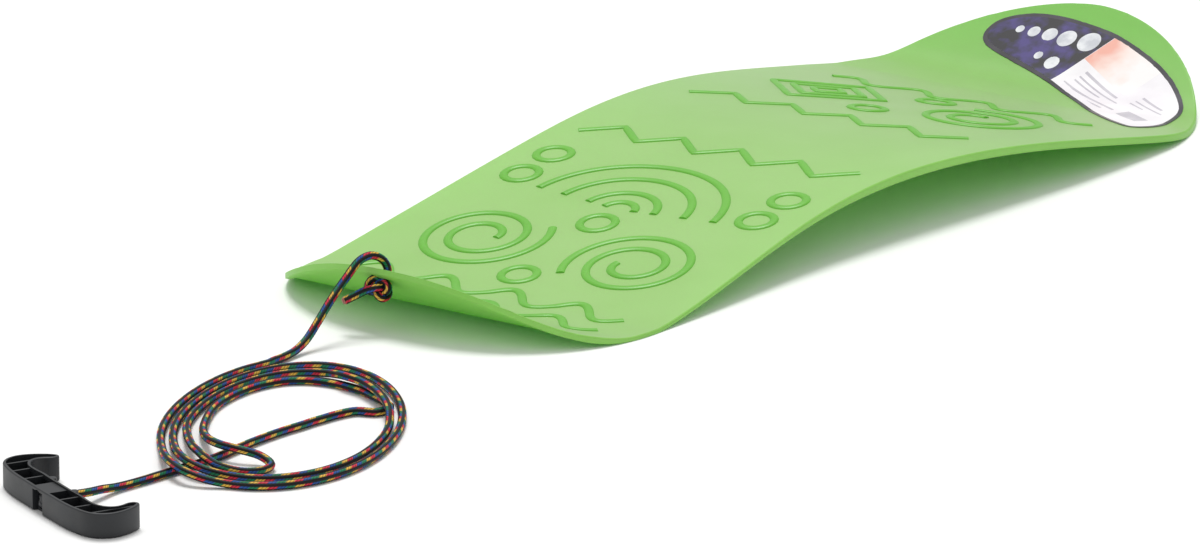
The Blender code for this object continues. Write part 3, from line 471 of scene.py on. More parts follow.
def inset(points, distance):
    """A closed, anticlockwise outline moved inwards."""
    before = units(points - np.roll(points, 1, axis=0))
    after = units(np.roll(points, -1, axis=0) - points)
    both = before + after
    inward = units(np.stack([-both[:, 1], both[:, 0]], axis=1))
    square = np.stack([-after[:, 1], after[:, 0]], axis=1)
    lean = np.clip((inward * square).sum(axis=1), LEAN_LEAST, 1.0)
    return points + inward * (distance / lean)[:, None]


def stations():
    """Places along the board where its blank is cut across, so that it can bend."""
    tail_start = REST_SPACING + REST_FLAT
    nose = np.linspace(-NOSE_REACH, -REST_FLAT, NOSE_STATIONS + 1)[1:]
    arch = np.linspace(REST_FLAT, REST_SPACING - REST_FLAT, ARCH_STATIONS + 1)
    tail = np.linspace(tail_start, REST_SPACING + TAIL_REACH, TAIL_STATIONS + 1)[:-1]
    return [float(u) for u in (*nose, *arch, *tail)]


def mix(first, last, start, end, t):
    share = (t - start) / (end - start)
    return first * (1.0 - share) + last * share


def run_along(line):
    """How far each point of a line is from its start, measured along it."""
    steps = norm(np.diff(line, axis=0), axis=1)
    return np.concatenate([[0.0], np.cumsum(steps)])


def turned(along, across, angle):
    """A place from lengths along and across something that is turned."""
    c = math.cos(angle)
    s = math.sin(angle)
    return along * c - across * s, along * s + across * c


def spline(points, step, closed=False):
    """Points at even steps on a smooth curve through the given ones."""
    points = np.asarray(points, float)
    if closed:
        padded = np.vstack([points[-1], points, points[0], points[1]])
    else:
        padded = np.vstack([2.0 * points[0] - points[1], points, 2.0 * points[-1] - points[-2]])
    dense = []
    for i in range(1, len(padded) - 2):
        four = padded[i - 1 : i + 3]
        chords = norm(np.diff(four, axis=0), axis=1)
        knots = np.concatenate([[0.0], np.cumsum(np.sqrt(chords))])
        for t in np.linspace(knots[1], knots[2], SPLINE_PLACES, endpoint=False):
            pairs = [mix(four[j], four[j + 1], knots[j], knots[j + 1], t) for j in range(3)]
            ends = [mix(pairs[j], pairs[j + 1], knots[j], knots[j + 2], t) for j in range(2)]
            dense.append(mix(ends[0], ends[1], knots[1], knots[2], t))
    dense.append(padded[-2])
    dense = np.array(dense)
    run = run_along(dense)
    places = np.linspace(0.0, run[-1], max(2, round(run[-1] / step)) + 1)
    even = np.column_stack([np.interp(places, run, axis) for axis in dense.T])
    return even[:-1] if closed else even


def hole_frame():
    """The rope hole's middle on the sheet, and the unit vector square to the sheet there."""
    u = -NOSE_REACH + HOLE_FROM_TIP
    slope = float(topside(u + SLOPE_STEP) - topside(u - SLOPE_STEP)) / (2.0 * SLOPE_STEP)
    normal = np.array([0.0, -slope, 1.0]) / math.hypot(slope, 1.0)
    top = np.array([HOLE_X, place_y(u), float(topside(u))])
    return top - np.array([0.0, 0.0, SHEET / 2.0]), normal


def nose_knot_frame():
    """Middle of the knot under the nose, the rope's way through the hole, and the hole's middle."""
    centre, normal = hole_frame()
    ahead = np.array([0.0, -normal[2], normal[1]])
    up = normal * math.cos(NOSE_KNOT_LEAN) + ahead * math.sin(NOSE_KNOT_LEAN)
    return centre - normal * NOSE_KNOT_DROP + ahead * NOSE_KNOT_FORWARD, up, centre


def handle_point(along, back, up):
    """A world place from lengths along the handle, back from its outer wall and up."""
    x, y = turned(along, back, HANDLE_TURN)
    return np.array([HANDLE_X + x, HANDLE_Y + y, up])


def handle_plan():
    """The handle's plan outline: the half outline and its mirror image, made smooth."""
    half = [(a * HANDLE_HALF_LENGTH, b * HANDLE_DEPTH) for a, b in HANDLE_HALF_SHARES]
    other = [(-a, b) for a, b in half[-2:0:-1]]
    return spline(half + other, HANDLE_HALF_LENGTH * HANDLE_PLAN_SHARE, True)


def coil_point(angle, turns_in):
    """A place on the coil's egg-shaped oval, which gets smaller with each turn inwards."""
    long_half = COIL_LONG_HALF - COIL_LONG_PITCH * turns_in
    short_half = COIL_SHORT_HALF - COIL_SHORT_PITCH * turns_in
    egg = 1.0 + COIL_EGG_SHARE * math.cos(angle)
    x, y = turned(long_half * math.cos(angle), short_half * math.sin(angle) * egg, COIL_LEAN)
    return COIL_CENTRE_X + x, COIL_CENTRE_Y + y


def climb(points, under, fall):
    """How far each point has to rise to pass over another stretch of rope."""
    apart = norm(points[:, None] - under[None], axis=2).min(axis=1)
    return CLIMB_LIFT * (1.0 - smooth_share((apart - CLIMB_TOP) / fall))


def coil_route():
    """The coil from the lead's end: twice round and more, the hairpin, the hook and the return.

    Its turns climb over the run, and the second one also over the hook. A strand that climbs
    moves a little sideways too.
    """
    places = int(COIL_TURNS * COIL_PLACES_PER_TURN) + 1
    turn_shares = np.arange(places) / COIL_PLACES_PER_TURN
    flat = []
    for share in turn_shares:
        moving = smooth_share((share % 1.0 - COIL_HOLD_SHARE) / (1.0 - COIL_HOLD_SHARE))
        flat.append(coil_point(COIL_START + math.tau * share, math.floor(share) + float(moving)))
    flat = np.array(flat)
    run = spline(RUN_ROUTE, ROPE_RADIUS)
    hook = spline(HOOK_ROUTE, ROPE_RADIUS)
    moved = flat
    for _ in range(CLIMB_PASSES):
        near_run = moved[:, 1] < CLIMB_LIMIT_Y
        over_run = np.where(near_run, climb(moved, run, CLIMB_FALL_AT_RUN), 0.0)
        over_hook = climb(moved, hook, CLIMB_FALL_AT_HOOK)
        over_hook = np.where(~near_run & (turn_shares > 1.0), over_hook, 0.0)
        lift = np.maximum(over_run, over_hook)
        moved = flat + lift[:, None] * np.array(CLIMB_SIDEWAYS_SHARES)
    rest = np.array(HAIRPIN_ROUTE + HOOK_ROUTE + RETURN_ROUTE)
    near_run = rest[:, 1] < CLIMB_LIMIT_Y
    rest_lift = np.where(near_run, climb(rest, run, CLIMB_FALL_AT_RUN), 0.0)
    points = np.vstack([moved, rest])
    lifts = np.concatenate([lift, rest_lift])
    return spline(np.column_stack([points, ROPE_RADIUS + lifts]), COIL_STEP)


def unit_way(start, end):
    return (end - start) / norm(end - start)


def around(x, u, radius, angles):
    """Places round a middle."""
    return np.stack([x + radius * np.cos(angles), u + radius * np.sin(angles)], axis=1)


def arc(x, u, radius, start, end):
    steps = max(ARC_PLACES_LEAST, int(abs(end - start) * radius / LINE_STEP))
    return around(x, u, radius, np.linspace(start, end, steps + 1))


def loop(x, u, radius):
    return arc(x, u, radius, 0.0, math.tau)[:-1]


def spiral(x, u, inner, outer, start):
    steps = int(SPIRAL_TURNS * math.pi * (inner + outer) / LINE_STEP)
    share = np.linspace(0.0, 1.0, steps + 1)
    angles = start + math.tau * SPIRAL_TURNS * share
    return around(x, u, inner + (outer - inner) * share, angles)


def wave(u):
    """A wavy line across the board."""
    share = np.linspace(-1.0, 1.0, WAVE_PLACES + 1)
    swing = MOTIF_HALF * SWING_SHARE * np.sin(math.pi * WAVE_SWINGS * share)
    return np.stack([MOTIF_HALF * share, u + swing], axis=1)


def strokes(points):
    """Straight strokes between corners, with points along them."""
    found = []
    for start, end in zip(points[:-1], points[1:]):
        steps = max(1, round(norm(end - start) / STROKE_STEP))
        found += [start + (end - start) * i / steps for i in range(steps)]
    return found


def zigzag(u):
    """A line across the board that goes up and down in straight strokes."""
    places = np.linspace(-MOTIF_HALF, MOTIF_HALF, ZIGZAG_STROKES + 1)
    swing = MOTIF_HALF * SWING_SHARE
    corners = [np.array([x, u + (swing if i % 2 else -swing)]) for i, x in enumerate(places)]
    return np.array([*strokes(corners), corners[-1]])


def diamond(x, u, half):
    tips = [(x + half, u), (x, u + half), (x - half, u), (x, u - half), (x + half, u)]
    return np.array(strokes([np.array(tip) for tip in tips]))


def motif_lines():
    """Two groups of motifs, each line with a mark that says whether it is closed.

    The board is bare between the groups. The rear group is measured from the label.
    """
    ring = MOTIF_HALF * RING_SHARE
    spiral_radius = MOTIF_HALF * SPIRAL_SHARE

    def front(shares):
        return MOTIF_HALF * shares[0], MOTIF_HALF * shares[1]

    def rear(shares):
        return MOTIF_HALF * shares[0], LABEL_U - MOTIF_HALF * shares[1]

    lines = [(wave(MOTIF_HALF * share), False) for share in FRONT_WAVE_SHARES]
    lines.append((wave(LABEL_U - MOTIF_HALF * REAR_WAVE_SHARE), False))
    lines.append((zigzag(MOTIF_HALF * FRONT_ZIGZAG_SHARE), False))
    lines.append((zigzag(LABEL_U - MOTIF_HALF * REAR_ZIGZAG_SHARE), False))
    places = [*map(front, FRONT_SPIRAL_SHARES), rear(REAR_SPIRAL_SHARES)]
    for (x, u), start in zip(places, (0.0, math.pi, math.pi / 2.0)):
        lines.append((spiral(x, u, ring, spiral_radius, start), False))
    for x, u in [*map(front, FRONT_RING_SHARES), *map(rear, REAR_RING_SHARES)]:
        lines.append((loop(x, u, ring), True))
    _, u = front((0.0, FRONT_ARCH_SHARE))
    for share in ARCH_SHARES:
        bow = arc(0.0, u, MOTIF_HALF * share, ARCH_END, math.pi - ARCH_END)
        lines.append((bow, False))
    for share in DIAMOND_SHARES:
        lines.append((diamond(*rear(REAR_DIAMOND_SHARES), MOTIF_HALF * share), True))
    return lines


# Making solids with the modelling tools.
def in_scene(name, data):
    item = bpy.data.objects.new(name, data)
    bpy.context.scene.collection.objects.link(item)
    return item


@contextlib.contextmanager
def opened(mesh):
    """A mesh opened for work on its corners, edges and faces, and closed after it."""
    work = bmesh.new()
    work.from_mesh(mesh)
    yield work
    work.to_mesh(mesh)
    work.free()


def flat_places(points):
    return np.column_stack([points, np.zeros(len(points))])


def curve_object(name, points, closed):
    data = bpy.data.curves.new(name, "CURVE")
    data.dimensions = "3D"
    data.twist_mode = "Z_UP"
    line = data.splines.new("POLY")
    line.points.add(len(points) - 1)
    for corner, place in zip(line.points, points):
        corner.co = (*(float(c) for c in place), 1.0)
    line.use_cyclic_u = closed
    return in_scene(name, data)


def solid_from_curve(curve):
    """A closed mesh from a curve object, with its caps joined on."""
    graph = bpy.context.evaluated_depsgraph_get()
    mesh = bpy.data.meshes.new_from_object(curve.evaluated_get(graph))
    with opened(mesh) as work:
        bmesh.ops.remove_doubles(work, verts=work.verts, dist=WELD)
        bmesh.ops.recalc_face_normals(work, faces=work.faces)
    name = curve.name
    bpy.data.objects.remove(curve)
    return in_scene(name, mesh)


def plate(name, points, low, high):
    """A flat plate from a closed outline."""
    curve = curve_object(name, flat_places(points), True)
    curve.data.dimensions = "2D"
    curve.data.fill_mode = "BOTH"
    curve.data.extrude = (high - low) / 2.0
    item = solid_from_curve(curve)
    item.data.transform(Matrix.Translation((0.0, 0.0, (low + high) / 2.0)))
    with opened(item.data) as work:
        flats = [edge for edge in work.edges if edge.calc_face_angle(0.0) < WELD]
        bmesh.ops.dissolve_edges(work, edges=flats, use_verts=False)
    return item


def round_edges(item, radius, level):
    """Round the edges that lie all round a plate at one level."""
    with opened(item.data) as work:
        chosen = [
            edge for edge in work.edges if all(abs(v.co.z - level) < WELD for v in edge.verts)
        ]
        bmesh.ops.bevel(
            work, geom=chosen, offset=radius, segments=EDGE_SEGMENTS, profile=ROUND_PROFILE,
            affect="EDGES",
        )


def slice_stations(item):
    """Cut a flat blank across at the board's stations."""
    with opened(item.data) as work:
        for u in stations():
            bmesh.ops.bisect_plane(
                work, geom=work.verts[:] + work.edges[:] + work.faces[:], dist=STATION_SNAP,
                plane_co=(0, u, 0), plane_no=(0, 1, 0), use_snap_center=True,
            )
        bmesh.ops.triangulate(work, faces=work.faces)


def drape(item, deep_height):
    """Bend a flat blank over the board's top. What lies below the split takes its own height."""
    for corner in item.data.vertices:
        x, u, z = corner.co
        if z < -BLANK_SPLIT:
            height = float(deep_height(u))
        else:
            height = float(topside(u)) + z
        corner.co = (x, place_y(u), height)
    item.data.update()


def rod(start, end, radius):
    start = Vector(start)
    end = Vector(end)
    way = end - start
    turn = way.to_track_quat("Z", "Y").to_euler()
    bpy.ops.mesh.primitive_cylinder_add(
        vertices=ROUND_SIDES, radius=radius, depth=way.length, location=(start + end) / 2.0,
        rotation=turn,
    )
    return bpy.context.active_object


def box(low, high):
    middle = [(a + b) / 2.0 for a, b in zip(low, high)]
    size = [b - a for a, b in zip(low, high)]
    bpy.ops.mesh.primitive_cube_add(size=1.0, location=middle, scale=size)
    return bpy.context.active_object


def boolean(item, cutter, kind="DIFFERENCE"):
    """Cut or add at once, and take the tool away."""
    step = item.modifiers.new(kind.lower(), "BOOLEAN")
    step.operation = kind
    step.solver = "EXACT"
    step.material_mode = "TRANSFER"
    step.object = cutter
    graph = bpy.context.evaluated_depsgraph_get()
    made = bpy.data.meshes.new_from_object(item.evaluated_get(graph))
    item.modifiers.clear()
    item.data = made
    bpy.data.objects.remove(cutter)


def join(items, name):
    """One object from one or more, under a new name."""
    base = items[0]
    if len(items) > 1:
        with bpy.context.temp_override(active_object=base, selected_editable_objects=items):
            bpy.ops.object.join()
    base.name = name
    return base


def shade(item, angle):
    """Smooth faces with sharp edges kept, and flat faces that stay flat beside a rounding."""
    item.data.shade_smooth()
    item.data.set_sharp_from_angle(angle=angle)
    weighted = item.modifiers.new("weighted_normals", "WEIGHTED_NORMAL")
    weighted.keep_sharp = True


def finish(item, body, slot, made, *nodes):
    """Give a piece its material and its body, and hide the CAD nodes that it stands for.

    Its slot is not used.
    """
    if made:
        item.data.materials.clear()
        item.data.materials.append(made)
    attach(item, body)
    if nodes:
        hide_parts(*nodes)


# The rope's line.
def rope_line():
    """The whole rope from the knot under the nose to the knot in the handle, at even steps."""
    _, up, hole = nose_knot_frame()
    coil = coil_route()
    bend = FACE_GAP + ROPE_DIAMETER
    lead_end = coil[0] - unit_way(coil[0], coil[1]) * bend
    lead = spline([hole + up * ROPE_RADIUS, *LEAD_ROUTE, lead_end], ROPE_DIAMETER)
    run_start = coil[-1] + unit_way(coil[-2], coil[-1]) * bend
    flat = [(x, y, ROPE_RADIUS) for x, y in RUN_ROUTE]
    rise = [handle_point(*place) for place in RISE_ROUTE]
    run = spline([run_start, *flat, *rise], RUN_STEP)
    run[:, 2] = np.maximum(run[:, 2], ROPE_RADIUS)
    first = hole - up * (NOSE_KNOT_STUB - FACE_GAP)
    depth = HANDLE_POCKET_DEPTH + HANDLE_KNOT_STUB + FACE_GAP
    last = handle_point(0.0, depth, HANDLE_HEIGHT / 2.0)
    return spline(np.vstack([first, lead, coil, run, last]), ROPE_STEP)


def overhand(centre, right, up, near, wide, deep):
    """An overhand knot's line, a trefoil, seen flat from the near side.

    Both its ends leave to the left.
    """
    turns = np.linspace(math.pi + KNOT_CUT, 3.0 * math.pi - KNOT_CUT, KNOT_PLACES)
    across = wide * (np.cos(turns) - 2.0 * np.cos(2.0 * turns))
    rise = -wide * (np.sin(turns) + 2.0 * np.sin(2.0 * turns))
    out = deep * np.sin(3.0 * turns)
    return centre + np.outer(across, right) + np.outer(rise, up) + np.outer(out, near)


def nose_knot_line():
    """From the stub in the hole, round the knot and out to the cut tail."""
    knot, up, hole = nose_knot_frame()
    right = np.array(NOSE_KNOT_RIGHT)
    near = np.array([right[1], -right[0], 0.0])
    middle = knot + right * NOSE_KNOT_ASIDE
    wide = right * NOSE_KNOT_STRETCH
    turns = overhand(middle, wide, ABOVE, near, NOSE_KNOT_WIDE, NOSE_KNOT_DEEP)

    def beside(place):
        return knot + right * place[0] + ABOVE * place[1] + near * place[2]

    stub = hole - up * NOSE_KNOT_STUB
    entry = [stub, stub - up * ROPE_RADIUS, *map(beside, NOSE_KNOT_ENTRY)]
    return spline([*entry, *turns, *map(beside, NOSE_KNOT_TAIL)], ROPE_STEP)


def handle_knot_line():
    """From the stub in the bore, round the knot in the handle's pocket."""
    origin = handle_point(0.0, 0.0, 0.0)
    along = handle_point(1.0, 0.0, 0.0) - origin
    back = handle_point(0.0, 1.0, 0.0) - origin
    level = HANDLE_HEIGHT / 2.0
    centre = handle_point(0.0, HANDLE_KNOT_PLACE, level)
    turns = overhand(centre, along, ABOVE, -back, HANDLE_KNOT_WIDE, HANDLE_KNOT_DEEP)
    stub = handle_point(0.0, HANDLE_POCKET_DEPTH + HANDLE_KNOT_STUB, level)
    entry = [stub, stub - back * HANDLE_KNOT_STUB]
    return spline([*entry, *turns[HANDLE_KNOT_SKIP:]], ROPE_STEP)


def braid(name, line, melted):
    """A braided tube on a line of even steps, with its turn share and its length as a map.

    Its surface rises at each stitch. The last stretch can be melted: drawn in and smooth.
    """
    way = units(np.gradient(line, axis=0))
    run = run_along(line)
    side = np.cross(way[0], ABOVE)
    share = np.arange(BRAID_SIDES) / BRAID_SIDES
    across = np.abs(np.sin(math.pi * BRAID_ROWS * share))
    lean = np.where(np.floor(BRAID_ROWS * share) % 2.0 < 1.0, STITCH_LEAN, -STITCH_LEAN)
    shift = lean * ((BRAID_ROWS * share) % 1.0 - 0.5)
    rings = []
    for i in range(len(line)):
        side = side - way[i] * float(np.dot(side, way[i]))
        side /= norm(side)
        over = np.cross(way[i], side)
        turn = math.tau * share + BRAID_TWIST * run[i]
        rise = np.sqrt(across * np.abs(np.sin(math.pi * (run[i] / STITCH_LENGTH + shift))))
        radius = ROPE_RADIUS * (1.0 - BRAID_RELIEF_SHARE * (1.0 - rise))
        left = run[-1] - run[i]
        if left < melted:
            drawn = MELTED_DRAW * (1.0 - left / melted) ** 2
            radius = np.full(BRAID_SIDES, ROPE_RADIUS * math.sqrt(1.0 - drawn))
        ring = np.outer(radius * np.cos(turn), side) + np.outer(radius * np.sin(turn), over)
        rings.append(line[i] + ring)
    corners = np.concatenate(rings)
    faces = []
    maps = []
    for i in range(len(line) - 1):
        for k in range(BRAID_SIDES):
            here = i * BRAID_SIDES + k
            after = i * BRAID_SIDES + (k + 1) % BRAID_SIDES
            faces.append((here, after, after + BRAID_SIDES, here + BRAID_SIDES))
            first = k / BRAID_SIDES
            second = (k + 1) / BRAID_SIDES
            start, end = run[i : i + 2]
            maps += [(first, start), (second, start), (second, end), (first, end)]
    last = (len(line) - 1) * BRAID_SIDES
    faces += [tuple(range(BRAID_SIDES))[::-1], tuple(range(last, last + BRAID_SIDES))]
    maps += [(0.0, 0.0)] * BRAID_SIDES + [(0.0, float(run[-1]))] * BRAID_SIDES
    mesh = bpy.data.meshes.new(name)
    mesh.from_pydata(corners.tolist(), [], faces)
    layer = mesh.uv_layers.new(name="braid_map")
    layer.data.foreach_set("uv", np.array(maps, np.float32).ravel())
    mesh.shade_smooth()
    return in_scene(name, mesh), float(run[-1])


def make_rope():
    """The rope and its two knots, with the rope's line and length."""
    line = rope_line()
    rope, length = braid("tow_rope", line, 0.0)
    nose_knot, _ = braid("nose_overhand_knot", nose_knot_line(), MELTED_LENGTH)
    handle_knot, _ = braid("handle_overhand_knot", handle_knot_line(), MELTED_LENGTH)
    yarn = rope_material()
    # Painted shade: the knot in the handle's pocket is dull dark grey instead of its braided
    # colours.
    shaded = bead_and_shade_material("polypropylene yarn, sealed knot", POCKET_SHADE_TINTS)
    melted = bead_and_shade_material("polypropylene yarn, melted end", MELTED_TINTS)
    finish(rope, "sled", "rope", yarn, "rope_lead", "rope_coil", "rope_run")
    finish(nose_knot, "sled", "rope", yarn, "nose_knot")
    finish(handle_knot, "sled", "rope", shaded, "handle_knot")
    nose_knot.data.materials.append(melted)
    # The melted end is the last rings of the tube, before its two caps, and the last cap.
    faces = list(nose_knot.data.polygons)
    count = round(MELTED_LENGTH / ROPE_STEP) * BRAID_SIDES
    for face in (*faces[-count - 2 : -2], faces[-1]):
        face.material_index = 1
    return rope, line, length, nose_knot, handle_knot


# The board.
def make_board(textured, polished):
    """The board: a textured top with painted sheen, and polished edges and underside."""
    rim = outline()
    board = plate("board_moulding", rim, -BLANK_DEPTH, 0.0)
    round_edges(board, TOP_EDGE_RADIUS, 0.0)
    slice_stations(board)
    board.data.materials.append(textured)
    board.data.materials.append(polished)
    # Level top faces take the paler green with the painted sheen, and all other faces take the
    # plain one.
    for face in board.data.polygons:
        face.material_index = 0 if face.normal.z > TEXTURED_SLOPE else 1
    drape(board, underside)
    hollow = plate("hollow_cutter", inset(rim, RIM_WALL), -BLANK_DEPTH, -SHEET)
    slice_stations(hollow)
    drape(hollow, lambda u: underside(u) - CAVITY_OVERSHOOT)
    centre, normal = hole_frame()
    reach = normal * HOLE_CUT_LENGTH / 2.0
    drill = rod(centre - reach, centre + reach, HOLE_RADIUS)
    for cutter in (hollow, drill):
        cutter.data.materials.append(polished)
        boolean(board, cutter)
    shade(board, BOARD_SHARP)
    return board


def make_lines():
    """The raised lines: low bars with a rounded crown, bent over the board."""
    half = LINE_WIDTH / 2.0
    crown = np.linspace(0.0, math.pi, LINE_PROFILE_PLACES + 1)
    section = [(half * math.cos(angle), LINE_HEIGHT * math.sin(angle)) for angle in crown]
    section = [(half, -LINE_ROOT), *section, (-half, -LINE_ROOT)]
    profile = curve_object("line_section", flat_places(section), True)
    profile.data.dimensions = "2D"
    bars = []
    for i, (points, closed) in enumerate(motif_lines()):
        bar = curve_object(f"line_{i}", flat_places(points), closed)
        bar.data.bevel_mode = "OBJECT"
        bar.data.bevel_object = profile
        bar.data.use_fill_caps = True
        bars.append(solid_from_curve(bar))
    bpy.data.objects.remove(profile)
    lines = join(bars, "raised_lines")
    drape(lines, underside)
    shade(lines, BOARD_SHARP)
    return lines


# The label.
def label_place(along_share, across_share):
    """A place on the board's plan from shares of the label's length and depth."""
    along = LABEL_LENGTH * (np.asarray(along_share) - 0.5)
    across = LABEL_DEPTH * np.asarray(across_share)
    x, u = turned(along, across, LABEL_TURN)
    return np.stack([LABEL_X + x, LABEL_U + u], axis=-1)


def cut_at(shares, axis, limit, side):
    """An outline in shares, cut straight where it passes a limit."""
    kept = []
    for here, after in zip(shares, np.roll(shares, -1, axis=0)):
        inside = side * (limit - here[axis]) >= 0.0
        if inside:
            kept.append(here)
        if inside != (side * (limit - after[axis]) >= 0.0):
            part = (limit - here[axis]) / (after[axis] - here[axis])
            kept.append(here + part * (after - here))
    return np.array(kept)


def label_field(limits, margin):
    """The label's outline drawn in by a margin and cut at limits of its two shares."""
    rim = spline(label_place(*np.array(LABEL_SHARES).T), LABEL_STEP, True)
    if margin:
        rim = inset(rim, margin)
    along, across = turned(*(rim - label_place(0.0, 0.0)).T, -LABEL_TURN)
    shares = np.column_stack([along / LABEL_LENGTH, across / LABEL_DEPTH])
    for i, limit in enumerate(limits):
        shares = cut_at(shares, i // 2, limit, 1 if i % 2 else -1)
    held = label_place(*shares.T)
    apart = norm(held - np.roll(held, 1, axis=0), axis=1)
    return held[apart > LABEL_POINT_GAP]


def label_sheet(name, rim, low, high):
    """One printed field of the label, bent over the tail."""
    sheet = plate(name, rim, low, high)
    slice_stations(sheet)
    drape(sheet, underside)
    shade(sheet, BOARD_SHARP)
    return sheet


def make_label():
    """The label: its backing, its white face and what is printed on that, layer over layer."""
    backing = LABEL_GAP + LABEL_BACKING
    face = backing + LABEL_PRINT
    under = face - LABEL_PRINT
    over = face + LABEL_PRINT
    turns = np.linspace(0.0, math.tau, DISC_PLACES, endpoint=False)
    bars = [label_field(limits, LABEL_MARGIN) for limits in LABEL_BARS]
    discs = [around(*label_place(*place), radius, turns) for *place, radius in LABEL_DISCS]
    layers = (
        ("label_backing", [label_field(LABEL_WHOLE, 0.0)], LABEL_GAP, backing),
        ("label_face", [label_field(LABEL_WHOLE, LABEL_BORDER)], backing - LABEL_PRINT, face),
        ("label_printed_bars", bars, under, over),
        ("label_picture", [label_field(LABEL_PICTURE, LABEL_BORDER)], under, over),
        ("label_wash", [label_field(LABEL_WASH, LABEL_BORDER)], under, over),
        ("label_discs", discs, over - LABEL_PRINT, over + LABEL_PRINT),
    )
    for name, rims, low, high in layers:
        sheets = [label_sheet(f"{name}_{i}", rim, low, high) for i, rim in enumerate(rims)]
        nodes = ["label"] if name == "label_backing" else []
        ink = film_material(*LABEL_INKS[name]) if name in LABEL_INKS else wash_material()
        finish(join(sheets, name), "sled", "label", ink, *nodes)


# The handle.
def make_handle():
    """The handle, made level about its bore's axis and then turned to its place."""
    plan = handle_plan()
    top = HANDLE_HEIGHT / 2.0
    floor = -top
    body = plate("pull_handle", plan, floor, top)
    for level in (top, floor):
        round_edges(body, HANDLE_EDGE_RADIUS, level)
    rim = inset(plan, HANDLE_WALL)
    hollow = plate("channel_cutter", rim, floor + HANDLE_WEB, top + CUT_SPARE)
    standing = [(-HANDLE_BLOCK_HALF, HANDLE_BLOCK_HALF)]
    for share in HANDLE_RIB_SHARES:
        for side in (-1.0, 1.0):
            place = side * share * HANDLE_HALF_LENGTH
            standing.append((place - HANDLE_RIB / 2.0, place + HANDLE_RIB / 2.0))
    for low, high in standing:
        corner = (low, -CUT_SPARE, floor - CUT_SPARE)
        far_corner = (high, HANDLE_DEPTH + CUT_SPARE, top - HANDLE_RIB_DROP)
        boolean(hollow, box(corner, far_corner))
    y = HANDLE_DEPTH * HANDLE_EAR_BACK_SHARE
    for x in (-HANDLE_EAR_PLACE, HANDLE_EAR_PLACE):
        boolean(body, rod((x, y, floor), (x, y, top), HANDLE_EAR_RADIUS), "UNION")
    outside = (0.0, -CUT_SPARE, 0.0)
    pocket_end = (0.0, HANDLE_POCKET_DEPTH, 0.0)
    bore_start = (0.0, HANDLE_POCKET_DEPTH / 2.0, 0.0)
    recess_low = (-HANDLE_POCKET_RADIUS, -CUT_SPARE, floor - CUT_SPARE)
    recess_high = (HANDLE_POCKET_RADIUS, HANDLE_RECESS_DEPTH, top - HANDLE_RIM)
    cutters = (
        hollow,
        rod(outside, pocket_end, HANDLE_POCKET_RADIUS),
        box(recess_low, recess_high),
        rod(bore_start, (0.0, HANDLE_DEPTH, 0.0), HANDLE_BORE_RADIUS),
    )
    for cutter in cutters:
        boolean(body, cutter)
    turn = Matrix.Rotation(HANDLE_TURN, 4, "Z")
    body.data.transform(Matrix.Translation(handle_point(0.0, 0.0, top)) @ turn)
    shade(body, HANDLE_SHARP)
    return body


# Colours and materials.
def colour(hex_code):
    """An sRGB hex colour as linear RGBA."""
    shares = [int(hex_code[i : i + 2], 16) / 255.0 for i in (1, 3, 5)]
    linear = [c / 12.92 if c <= 0.04045 else ((c + 0.055) / 1.055) ** 2.4 for c in shares]
    return (*linear, 1.0)


def new_material(name):
    made = bpy.data.materials.new(name)
    made.use_nodes = True
    made.node_tree.nodes.clear()
    return made


def add(made, kind, settings=None, **inputs):
    """One shader node with its settings, its input values and its links.

    An input is named with _ for a space, or by its number as i0, i1 and so on.
    """
    node = made.node_tree.nodes.new("ShaderNode" + kind)
    for key, value in (settings or {}).items():
        setattr(node, key, value)
    for key, value in inputs.items():
        slot = int(key[1:]) if key[0] == "i" and key[1:].isdigit() else key.replace("_", " ")
        socket = node.inputs[slot]
        if isinstance(value, bpy.types.NodeSocket):
            made.node_tree.links.new(value, socket)
        else:
            socket.default_value = value
    return node


def maths(made, operation, *values):
    """One Math node's result."""
    inputs = {f"i{k}": value for k, value in enumerate(values)}
    return add(made, "Math", {"operation": operation}, **inputs).outputs[0]


def bands(made, place, stops, blend="LINEAR"):
    """A colour ramp's result, from (place, hex colour) stops."""
    stops = list(stops)
    node = add(made, "ValToRGB", Fac=place)
    ramp = node.color_ramp
    ramp.interpolation = blend
    while len(ramp.elements) < len(stops):
        ramp.elements.new(1.0)
    for element, (position, hex_code) in zip(ramp.elements, stops):
        element.position = position
        element.color = colour(hex_code)
    return node.outputs["Color"]


def complete(made, shader):
    add(made, "OutputMaterial", Surface=shader.outputs[0])
    return made


def surface(made, **inputs):
    """Finish a material with the usual surface shader alone."""
    return complete(made, add(made, "BsdfPrincipled", **inputs))


def place_in(made):
    return add(made, "TexCoord").outputs["Object"]


def noise(made, place, scale, detail=2.0):
    """Clouds or grain, from their repeats to the metre."""
    node = add(made, "TexNoise", Vector=place, Scale=scale, Detail=detail)
    return node.outputs["Fac"]


def spread(made, value, start, end, results=(0.0, 1.0)):
    """A value between start and end, taken over to between two results."""
    limits = {"From_Min": start, "From_Max": end, "To_Min": results[0], "To_Max": results[1]}
    return add(made, "MapRange", Value=value, **limits).outputs["Result"]


def blended(made, share, first, second):
    """A colour between two, by a share."""
    node = add(made, "Mix", {"data_type": "RGBA"}, Factor=share, A=first, B=second)
    return node.outputs["Result"]


def bumped(made, height, strength, distance):
    node = add(made, "Bump", Strength=strength, Distance=distance, Height=height)
    return node.outputs["Normal"]


